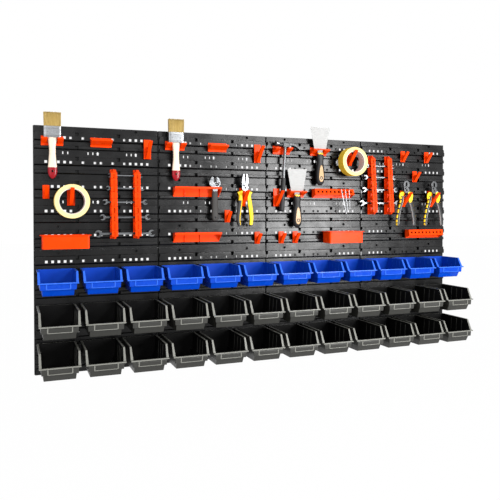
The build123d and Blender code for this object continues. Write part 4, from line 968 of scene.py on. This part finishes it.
core_paper = moulded_plastic("pressed_paper_core", "#D2CBC4", "#B9B1AA", 0.7, grain=0.2, specular=0.2)
tape_front = TAPE_BACK - TAPE_WIDTH
for n, (hook, face_code, side_code) in enumerate(zip(TAPE_HOOKS, ("#E2D096", "#DECD82"),
                                                     ("#EBD48A", "#EFC838"))):
    x, z = spot(LARGE_HOOKS[hook])
    z -= TAPE_DROP + TAPE_INNER
    roll = bmesh.new()
    wrap = TAPE_INNER + TAPE_CORE
    revolve(roll, [(wrap, TAPE_BACK - 0.2), (wrap, tape_front + 0.2), (TAPE_OUTER - 0.5, tape_front + 0.2),
                   (TAPE_OUTER - 0.5, TAPE_BACK - 0.2)], x, z, TAPE_SIDES)
    revolve(roll, [(TAPE_OUTER - 2, TAPE_BACK - 0.6), (TAPE_OUTER - 2, tape_front + 0.6),
                   (TAPE_OUTER - 0.4, tape_front + 0.4), (TAPE_OUTER, tape_front + 1.2),
                   (TAPE_OUTER, TAPE_BACK - 1.2), (TAPE_OUTER - 0.4, TAPE_BACK - 0.4)],
            x, z, TAPE_SIDES, 1)
    revolve(roll, [(TAPE_INNER, TAPE_BACK), (TAPE_INNER, tape_front), (wrap, tape_front), (wrap, TAPE_BACK)],
            x, z, TAPE_SIDES, 2)
    paints = [wound_tape(f"masking_tape_face_{n + 1}", face_code, "#E2CD86", x, z),
              wound_tape(f"masking_tape_side_{n + 1}", side_code, "#DDB92E", x, z), core_paper]
    place_piece(roll, f"tape_roll_{n + 1}", "wall", "masking_tape", paints,
                *(["tape_rolls"] if n == 0 else []))

# Spanners: nine double open-ended ones in chromed steel, lying in the racks with the largest at the foot.
# Each has round heads, jaws turned fifteen degrees and a hollowed shank.
SPANNER_Y, SPANNER_HALF = FACE_Y - SLOT_BACK - SLOT_POCKET / 2, 2.3
LEFT_SPANNERS = [(0, 194.0), (2, 164.0), (4, 146.0), (6, 124.0), (8, 112.0)]
RIGHT_SPANNERS = [(1, 180.0), (3, 160.0), (5, 144.0), (7, 128.0)]
SHANK_SHARE, SHANK_DRAWN, HEAD_SHARE, JAW_SHARE, JAW_ANGLE = 0.062, 0.038, 0.06, 0.5, 15.0
JAW_MOUTH = [(2, -1), (2, 1), (0.1, 1), (-0.25, 0.55), (-0.25, -0.55), (0.1, -1)]
SHANK_INTO_HEAD, SHANK_IN, SHANK_RIM, SHANK_HOLLOW = 0.6, 0.3, 0.3, 0.7
HEAD_ROUND, SHANK_ROUND = 0.5, 0.6

chrome_steel = grained("chromed_steel", "#86888A", "#4A4C4F", 0.24, (16, 4, 1), 3.2, metallic=1.0, bump=0.03)


def round_outline(a, b, radius, degrees):
    """Points round a circle in two axes, some degrees apart."""
    turns = [math.radians(turn) for turn in range(0, 360, degrees)]
    return [(a + radius * math.cos(turn), b + radius * math.sin(turn)) for turn in turns]


def spanner_shape(length):
    """One spanner about its middle, lying along x."""
    shank, head = SHANK_DRAWN * length / 2, HEAD_SHARE * length
    reach = length / 2 - head
    made = bmesh.new()
    for side in (-1, 1):
        disc, jaw = bmesh.new(), bmesh.new()
        turn = math.radians(JAW_ANGLE + (0 if side > 0 else 180))
        prism(disc, round_outline(0, 0, head, 10), "y", *span(0, SPANNER_HALF))
        gap, mouth = JAW_SHARE * head, []
        for head_share, gap_share in JAW_MOUTH:
            along, across = head_share * head, gap_share * gap
            mouth.append((along * math.cos(turn) - across * math.sin(turn),
                          along * math.sin(turn) + across * math.cos(turn)))
        prism(jaw, mouth, "y", *span(0, CUT))
        disc = combine(disc, jaw, "DIFFERENCE")
        soften(disc, sharp_edges(disc, 40), HEAD_ROUND)
        bmesh.ops.translate(disc, vec=(side * reach, 0, 0), verts=disc.verts)
        join_shape(made, disc)
    bar = bmesh.new()
    slab(bar, span(0, reach - SHANK_INTO_HEAD * head), span(0, SPANNER_HALF - SHANK_IN), span(0, shank))
    wide = [f for f in bar.faces if abs(f.normal.y) > 0.9]
    bmesh.ops.inset_individual(bar, faces=wide, thickness=SHANK_RIM * shank, depth=-SHANK_HOLLOW)
    soften(bar, [e for e in sharp_edges(bar, 40) if abs(e.verts[0].co.z) > 0.9 * shank], SHANK_ROUND)
    join_shape(made, bar)
    return made


spanners = bmesh.new()
for racks_at, lengths in (((RACKS[0], RACKS[1]), LEFT_SPANNERS), ((RACKS[2], RACKS[3]), RIGHT_SPANNERS)):
    (near, z), (far, z) = map(spot, racks_at)
    for slot, length in lengths:
        lift = SHANK_SHARE * length / 2 - SLOT_SEAT * (SLOT_PITCH - slot) + SEAT_GAP
        shape = spanner_shape(length)
        bmesh.ops.translate(shape, vec=((near + far) / 2, SPANNER_Y, z - RACK_FOOT + slot_rise(slot) + lift),
                            verts=shape.verts)
        join_shape(spanners, shape)
place_piece(spanners, "spanner_forgings", "wall", "chrome_steel", [chrome_steel], "spanners")

# Adjustable wrench: a chromed head with a dark dipped grip, standing in the first slotted rail. The lower
# jaw slides on the head and a knurled worm in the head's window drives it.
WRENCH_X, WRENCH_Y, WRENCH_Z = -200.1, FACE_Y - RAIL_SLOT_CENTRE, 220.3
WRENCH_HALF, WRENCH_ROUND, WRENCH_JAW_ROUND = 5.0, 0.8, 0.7
WRENCH_HEAD = [(-8.5, -30), (8.5, -30), (9.5, -19), (19, -9), (19, 0), (-5, 0), (-5, 15), (-10, 21),
               (-17, 12), (-21, 2), (-20, -7), (-10, -19)]
WRENCH_JAW = [(4.5, 0.4), (4.5, 17), (8, 20), (13, 14), (18, 5), (18, 0.4)]
GRIP_CURVE = [(-29, 8.8, 5.0), (-42, 10.4, 5.0), (-70, 10.6, 5.0), (-104, 11.2, 5.0), (-121, 10.6, 5.0),
              (-129, 7.6, 4.2), (-131, 3.0, 2.5)]
GRIP_OVAL, GRIP_HOLE_Z, GRIP_HOLE = (20, 3.2), -119.0, 3.2
WORM_X, WORM_Z, WORM_RADIUS, WORM_LENGTH, WORM_GAP = 6.5, -6.7, 3.8, 12.0, 0.4
WORM_TURNS, WORM_STEPS, WORM_THREAD = 5, 4, 0.9

dark_vinyl = moulded_plastic("charcoal_dipped_vinyl", "#2C2927", "#211F1D", 0.5, grain_mm=1.4, grain=0.14,
                             specular=0.35)

wrench_head, window = bmesh.new(), bmesh.new()
prism(wrench_head, shifted(WRENCH_HEAD, WRENCH_X, WRENCH_Z), "y", *span(WRENCH_Y, WRENCH_HALF))
reach, rise = WORM_LENGTH / 2 + WORM_GAP, WORM_RADIUS + WORM_GAP
slab(window, span(WRENCH_X + WORM_X, reach), span(WRENCH_Y, DRILL_LENGTH / 2),
     span(WRENCH_Z + WORM_Z, rise))
wrench_head = combine(wrench_head, window, "DIFFERENCE")
soften(wrench_head, sharp_edges(wrench_head, 40), WRENCH_ROUND)
grip = bmesh.new()
loft_ovals(grip, WRENCH_X, WRENCH_Y, WRENCH_Z, smooth_curve(GRIP_CURVE), *GRIP_OVAL, lambda ring, side: 1)
join_shape(wrench_head, drill(grip, WRENCH_X, WRENCH_Z + GRIP_HOLE_Z, WRENCH_Y, GRIP_HOLE))
place_piece(wrench_head, "wrench_head_and_grip", "wall", "chrome_steel", [chrome_steel, dark_vinyl],
            "wrench_body")

jaw = bmesh.new()
prism(jaw, shifted(WRENCH_JAW, WRENCH_X, WRENCH_Z), "y", *span(WRENCH_Y, WRENCH_HALF))
soften(jaw, sharp_edges(jaw, 40), WRENCH_JAW_ROUND)
place_piece(jaw, "wrench_sliding_jaw", "wrench_jaw", "chrome_steel", [chrome_steel], "wrench_jaw")

worm = bmesh.new()
worm_rings = []
for n in range(WORM_TURNS * WORM_STEPS + 1):
    along = WRENCH_X + WORM_X + (n / (WORM_TURNS * WORM_STEPS) - 0.5) * WORM_LENGTH
    radius = WORM_RADIUS - (WORM_THREAD if n % WORM_STEPS in (0, WORM_STEPS - 1) else 0.0)
    worm_rings.append([(along, y, z) for y, z in round_outline(WRENCH_Y, WRENCH_Z + WORM_Z, radius, 18)])
loft(worm, worm_rings)
place_piece(worm, "wrench_knurled_worm", "wrench_worm", "chrome_steel", [chrome_steel], "wrench_worm")

# Pliers and side cutters: two crossed halves lapped at a riveted pivot, hung astride a hook's tongue. The
# back half stays put and the front half, whose handle is on the right, swings on the rivet.
PLIER_Y, PLIER_HALF, LAP_GAP, PIVOT_RISE = -45.0, 5.0, 0.3, 4.5
PIVOT_RADIUS, RIVET_RADIUS = 12.0, 4.0
PIVOT_ROUND, NECK_ROUND, JAW_ROUND, GUARD_ROUND = 0.5, 0.4, 0.9, 1.4
NECK = [(3, 4), (12, 6), (12, 16), (0.3, 16), (0.3, 9)]
PLIER_JAW = [(0.3, 13.5), (13, 13.5), (13.2, 20), (11.8, 30), (8.8, 46), (7.5, 48.5), (2.4, 48.5), (1.9, 26),
             (0.3, 21)]
CUTTER_JAW = [(2.4, 13.5), (12.5, 13.5), (14.2, 20), (13.2, 27), (9.5, 33), (4, 37.5), (0.3, 37), (0.3, 31),
              (3.4, 27), (4.4, 21)]
PLIER_GUARD = [(6, -9), (13, -11), (27, -16), (21.5, -25), (20, -44), (9, -44), (8.5, -20)]
CUTTER_GUARD = [(6, -9), (11, -6), (20, -6), (28, -12), (30, -25), (26, -40), (20, -49), (11, -46), (9, -20)]
PLIER_GRIP = [(-20, 9.5, 18), (-44, 9, 24), (-74, 13, 29), (-106, 17, 31), (-127, 16, 28), (-135, 17, 24)]
CUTTER_GRIP = [(-22, 11, 23), (-44, 14, 29), (-74, 24, 37.5), (-108, 31, 45), (-132, 33, 46), (-137, 35, 44)]
GRIPPERS = [("pliers", 3, PLIER_JAW, PLIER_GUARD, PLIER_GRIP),
            ("cutter_1", 6, CUTTER_JAW, CUTTER_GUARD, CUTTER_GRIP),
            ("cutter_2", 7, CUTTER_JAW, CUTTER_GUARD, CUTTER_GRIP)]
GRIP_SIDES, GRIP_POWER = 16, 2.8
YELLOW, BLACK, GREY = 1, 2, 3

bright_steel = grained("polished_tool_steel", "#7E7F81", "#55575A", 0.22, (1, 1, 8), 1.6, metallic=0.9,
                       bump=0.05)
dark_steel = grained("phosphated_tool_steel", "#5A5B5C", "#434445", 0.36, (1, 1, 6), 1.6, metallic=0.8,
                     bump=0.08)
black_grip = moulded_plastic("black_grip_rubber", "#1A1A1B", "#121213", 0.5, grain_mm=1.2, grain=0.16,
                             specular=0.35)
yellow_grip = moulded_plastic("yellow_grip_rubber", "#FFD400", "#F5C400", 0.42, grain_mm=1.2, grain=0.1,
                              specular=0.35)
grey_grip = moulded_plastic("grey_grip_rubber", "#B4B4B1", "#A2A29F", 0.5, grain_mm=1.2, grain=0.1,
                            specular=0.35)


def gripper_half(bm, name, x, z, jaw, guard, grip, side):
    """One half of a pair about its pivot; side 1 is the front half, with its handle on the right."""
    whole = span(PLIER_Y, PLIER_HALF)
    lap = (whole[0], PLIER_Y - LAP_GAP / 2) if side > 0 else (PLIER_Y + LAP_GAP / 2, whole[1])
    rounded_prism(bm, round_outline(x, z, PIVOT_RADIUS, 12), "y", *lap, PIVOT_ROUND)
    rounded_prism(bm, shifted(NECK, x, z, -side), "y", *lap, NECK_ROUND)
    rounded_prism(bm, shifted(jaw, x, z, -side), "y", *whole, JAW_ROUND)
    rounded_prism(bm, shifted(guard, x, z, side), "y", *lap, GUARD_ROUND, 3, YELLOW)
    curve = smooth_curve(grip, 5)
    outward = 0 if side > 0 else GRIP_SIDES // 2

    def paint(ring, k):
        """The pliers' grips are yellow with a dark outer or inner side and a dark end; the cutters' are black
        with a grey inner side and yellow bars on the outer one."""
        away = min((k - outward) % GRIP_SIDES, (outward - k) % GRIP_SIDES)
        if name == "pliers":
            dark = away > 6 if side > 0 else away < 6
            return BLACK if dark and ring > 4 or ring > len(curve) - 6 else YELLOW
        if away < (2 if side > 0 else 4):
            return BLACK if ring % 3 == 0 else YELLOW
        return GREY if away > 5 else BLACK

    loft(bm, [oval(x + side * (inner + outer) / 2, PLIER_Y, z + drop, (outer - inner) / 2, PLIER_HALF,
                   GRIP_SIDES, GRIP_POWER) for drop, inner, outer in curve], paint)
    if side < 0:
        rounded_prism(bm, round_outline(x, z, RIVET_RADIUS, 15), "y", *whole, PIVOT_ROUND)


for name, hook, *shapes in GRIPPERS:
    x, z = spot(LARGE_HOOKS[hook])
    steel = bright_steel if name == "pliers" else dark_steel
    paints = [steel, yellow_grip, black_grip, grey_grip]
    for body, side in (("wall", -1), (f"{name}_front_half", 1)):
        half = bmesh.new()
        gripper_half(half, name, x, z + PIVOT_RISE, *shapes, side)
        nodes = [body] if side > 0 else ["plier_back_halves"] if name == "pliers" else []
        place_piece(half, f"{name}_{'front' if side > 0 else 'back'}_half", body, "tool_steel", paints,
                    *nodes)

# Claw hammer: a forged head with a bright poll and a split claw on a steel shank, with a black rubber
# grip; the head lies across a fork.
HAMMER_X, HAMMER_Z = spot(FORKS[4])[0] + 9.0, spot(FORKS[4])[1] - PRONG_TOP + SEAT_GAP + 8.8
HAMMER_TILT = 3.4
CHEEK_HALF, CHEEK_HEIGHT, HEAD_WIDTH, CHEEK_ROUND = 12.0, 8.0, 10.0, 2.0
POLL = [(-10, 7.0), (-24, 7.4), (-26, 9.6), (-28, 10.5), (-36, 10.5), (-38, 9.6)]
POLL_RISE, POLL_NECK = 3.0, -25
CLAW_TOP = [(11, 8), (24, 8), (38, 4), (52, -6), (58, -14)]
CLAW_UNDER = [(11, -6), (22, 0), (34, -2), (46, -8), (55.5, -15)]
CLAW_SPLIT_HALF, CLAW_SPLIT_RISE, CLAW_SPLIT, CLAW_ROUND = 1.5, 30.0, (27.0, 80.0), 0.8
SHANK_RADIUS, SHANK_LENGTH = 5.5, 118.0
HAMMER_GRIP_CURVE = [(0, 6.5), (2, 8.4), (20, 9.0), (60, 8.2), (96, 9.0), (114, 9.0), (120, 6.5)]

black_iron = grained("blackened_hammer_iron", "#3E3F40", "#2C2D2E", 0.34, (5, 5, 1), 3.0, metallic=0.8,
                     bump=0.08)
forged_steel = grained("forged_hammer_steel", "#737476", "#525355", 0.3, (5, 5, 1), 3.0, metallic=0.9,
                       bump=0.08)

head = bmesh.new()
rounded_box(head, span(HAMMER_X, CHEEK_HALF), span(TOOL_Y, HEAD_WIDTH), span(HAMMER_Z, CHEEK_HEIGHT),
            CHEEK_ROUND)
poll_rings = []
for along, radius in POLL:
    middle = HAMMER_Z + POLL_RISE * (1 if along < POLL_NECK else 0)
    poll_rings.append([(HAMMER_X + along, y, z) for y, z in round_outline(TOOL_Y, middle, radius, 12)])
loft(head, poll_rings, lambda ring, side: 1 if ring > 1 else 0)
claw, split = bmesh.new(), bmesh.new()
claw_side = smooth_curve(CLAW_TOP, 3) + smooth_curve(CLAW_UNDER, 3)[::-1]
prism(claw, shifted(claw_side, HAMMER_X, HAMMER_Z), "y", *span(TOOL_Y, HEAD_WIDTH))
slab(split, [HAMMER_X + along for along in CLAW_SPLIT], span(TOOL_Y, CLAW_SPLIT_HALF),
     span(HAMMER_Z, CLAW_SPLIT_RISE))
claw = combine(claw, split, "DIFFERENCE")
soften(claw, sharp_edges(claw, 30), CLAW_ROUND)
join_shape(head, claw)
shank = [(rise, SHANK_RADIUS, SHANK_RADIUS) for rise in (0, -SHANK_LENGTH)]
loft_ovals(head, HAMMER_X, TOOL_Y, HAMMER_Z, shank, 24, 2, lambda ring, side: 2)
swing = Matrix.Translation((HAMMER_X, TOOL_Y, HAMMER_Z)) @ Matrix.Rotation(math.radians(HAMMER_TILT), 4, "Y")
swing = swing @ Matrix.Translation((-HAMMER_X, -TOOL_Y, -HAMMER_Z))
bmesh.ops.transform(head, matrix=swing, verts=head.verts)
place_piece(head, "hammer_forging", "wall", "tool_steel", [black_iron, bright_steel, forged_steel],
            "hammer_head")

grip = bmesh.new()
grip_levels = [(-drop, radius, radius) for drop, radius in smooth_curve(HAMMER_GRIP_CURVE)]
loft_ovals(grip, HAMMER_X, TOOL_Y, HAMMER_Z - SHANK_LENGTH, grip_levels, 24, 2.2)
bmesh.ops.transform(grip, matrix=swing, verts=grip.verts)
place_piece(grip, "hammer_rubber_grip", "wall", "grip_rubber", [black_grip], "hammer_grip")

# Putty knives: thin bright blades with a brass bolster in black moulded handles, each with a gold inlay
# and a hanging ring; they hang by the blade's shoulders in forks.
KNIVES = (5, 6)
BLADE = [(24, 0), (39, 79), (-39, 79), (-24, 0), (-10, -4), (-10, -30), (10, -30), (10, -4)]
BLADE_HALF, BLADE_ROUND = 0.7, 0.3
KNIFE_CURVE = [(-17, 11, 7.5), (-20, 12.5, 9), (-30, 13.6, 10.5), (-48, 11.5, 9.5), (-70, 15, 10.8),
               (-95, 17, 11), (-118, 15, 10.4), (-129, 9.5, 7), (-133, 3.5, 3)]
INLAY = [(-60, 1.5), (-66, 4.5), (-80, 7.4), (-98, 9.4), (-108, 9.0), (-116, 6.5), (-120, 2.5)]
INLAY_OUT, INLAY_IN = 11.2, 6.0
BOLSTER = [(-19, 12.2, 8.4), (-17, 12.6, 8.6), (-14, 12.0, 7.6), (-13, 10.5, 5.0)]
RING_Z, RING_OUTER, RING_INNER, RING_PROUD, RING_SUNK, RING_SIDES = -106.0, 6.2, 3.4, 0.4, 2, 32
KNIFE_OVAL, BOLSTER_OVAL, BRASS, GOLD = (24, 2.5), (24, 3.5), 1, 2

blade_steel = grained("ground_blade_steel", "#A2A2A1", "#989897", 0.55, (12, 12, 1), 1.2, specular=0.25,
                      metallic=0.1, bump=0.03)
brass = grained("brass_bolster", "#D9A441", "#B98427", 0.28, (6, 6, 1), 1.5, metallic=1.0, bump=0.04)
gold_inlay = moulded_plastic("gold_inlay_plastic", "#A67A30", "#976C27", 0.34)

blades, knife_handles = bmesh.new(), bmesh.new()
for x, z in (spot(FORKS[n]) for n in KNIVES):
    seat = z - PRONG_TOP + SEAT_GAP
    rounded_prism(blades, shifted(BLADE, x, seat), "y", *span(TOOL_Y, BLADE_HALF), BLADE_ROUND)
    loft_ovals(knife_handles, x, TOOL_Y, seat, smooth_curve(KNIFE_CURVE), *KNIFE_OVAL)
    loft_ovals(knife_handles, x, TOOL_Y, seat, BOLSTER, *BOLSTER_OVAL, lambda ring, side: BRASS)
    inlay = smooth_curve(INLAY)
    face_y = TOOL_Y - INLAY_OUT
    right = [(x + half, seat + drop) for drop, half in inlay]
    left = [(x - half, seat + drop) for drop, half in inlay]
    rounded_prism(knife_handles, right + left[::-1], "y", face_y, TOOL_Y - INLAY_IN, BLADE_ROUND, 2, GOLD)
    crest, sunk = face_y - RING_PROUD, face_y + RING_SUNK
    ring = [(RING_INNER, crest), (RING_OUTER, crest), (RING_OUTER, sunk), (RING_INNER, sunk)]
    revolve(knife_handles, ring, x, seat + RING_Z, RING_SIDES)
place_piece(blades, "putty_knife_blades", "wall", "tool_steel", [blade_steel], "putty_blades")
place_piece(knife_handles, "putty_knife_handles", "wall", "handle_plastic", [black_grip, brass, gold_inlay],
            "putty_handles")

# Hex keys: three L-shaped bars of drawn six-sided steel, bent at one end. Each hooks its short arm over
# the top of the first holed rail and hangs, the first leaning most.
KEY_RAIL = HOLED_RAILS[0]
KEYS = [(22.0, 3.6, 96.0, 13.0), (39.0, 3.2, 86.0, 7.5), (56.0, 2.8, 74.0, 3.0)]
KEY_SHORT, KEY_BEND = 26.0, 6.0

keys = bmesh.new()
rail_x, rail_z = spot(KEY_RAIL)
for offset, thick, length, lean in KEYS:
    x, top = rail_x + offset, rail_z + RAIL_RISE + thick / 2 + SEAT_GAP
    out = FACE_Y - HOLED_REACH - HOLED_LEAN - thick
    path = [(out + KEY_SHORT, top, 0)]
    for turn in range(0, 91, 15):
        bend = math.radians(turn)
        path.append((out + KEY_BEND - KEY_BEND * math.sin(bend), top - KEY_BEND + KEY_BEND * math.cos(bend),
                     turn))
    path.append((out, top - length, 90))
    rings = []
    for y, z, turn in path:
        lift = (math.sin(math.radians(turn)), math.cos(math.radians(turn)))
        rings.append([(x + across, y - rise * lift[0], z + rise * lift[1])
                      for across, rise in round_outline(0, 0, thick / 2, 60)])
    key = bmesh.new()
    loft(key, rings)
    bmesh.ops.rotate(key, cent=(x, out, top), matrix=Matrix.Rotation(math.radians(-lean), 3, "Y"),
                     verts=key.verts)
    join_shape(keys, key)
place_piece(keys, "hex_key_bars", "wall", "tool_steel", [forged_steel], "hex_keys")
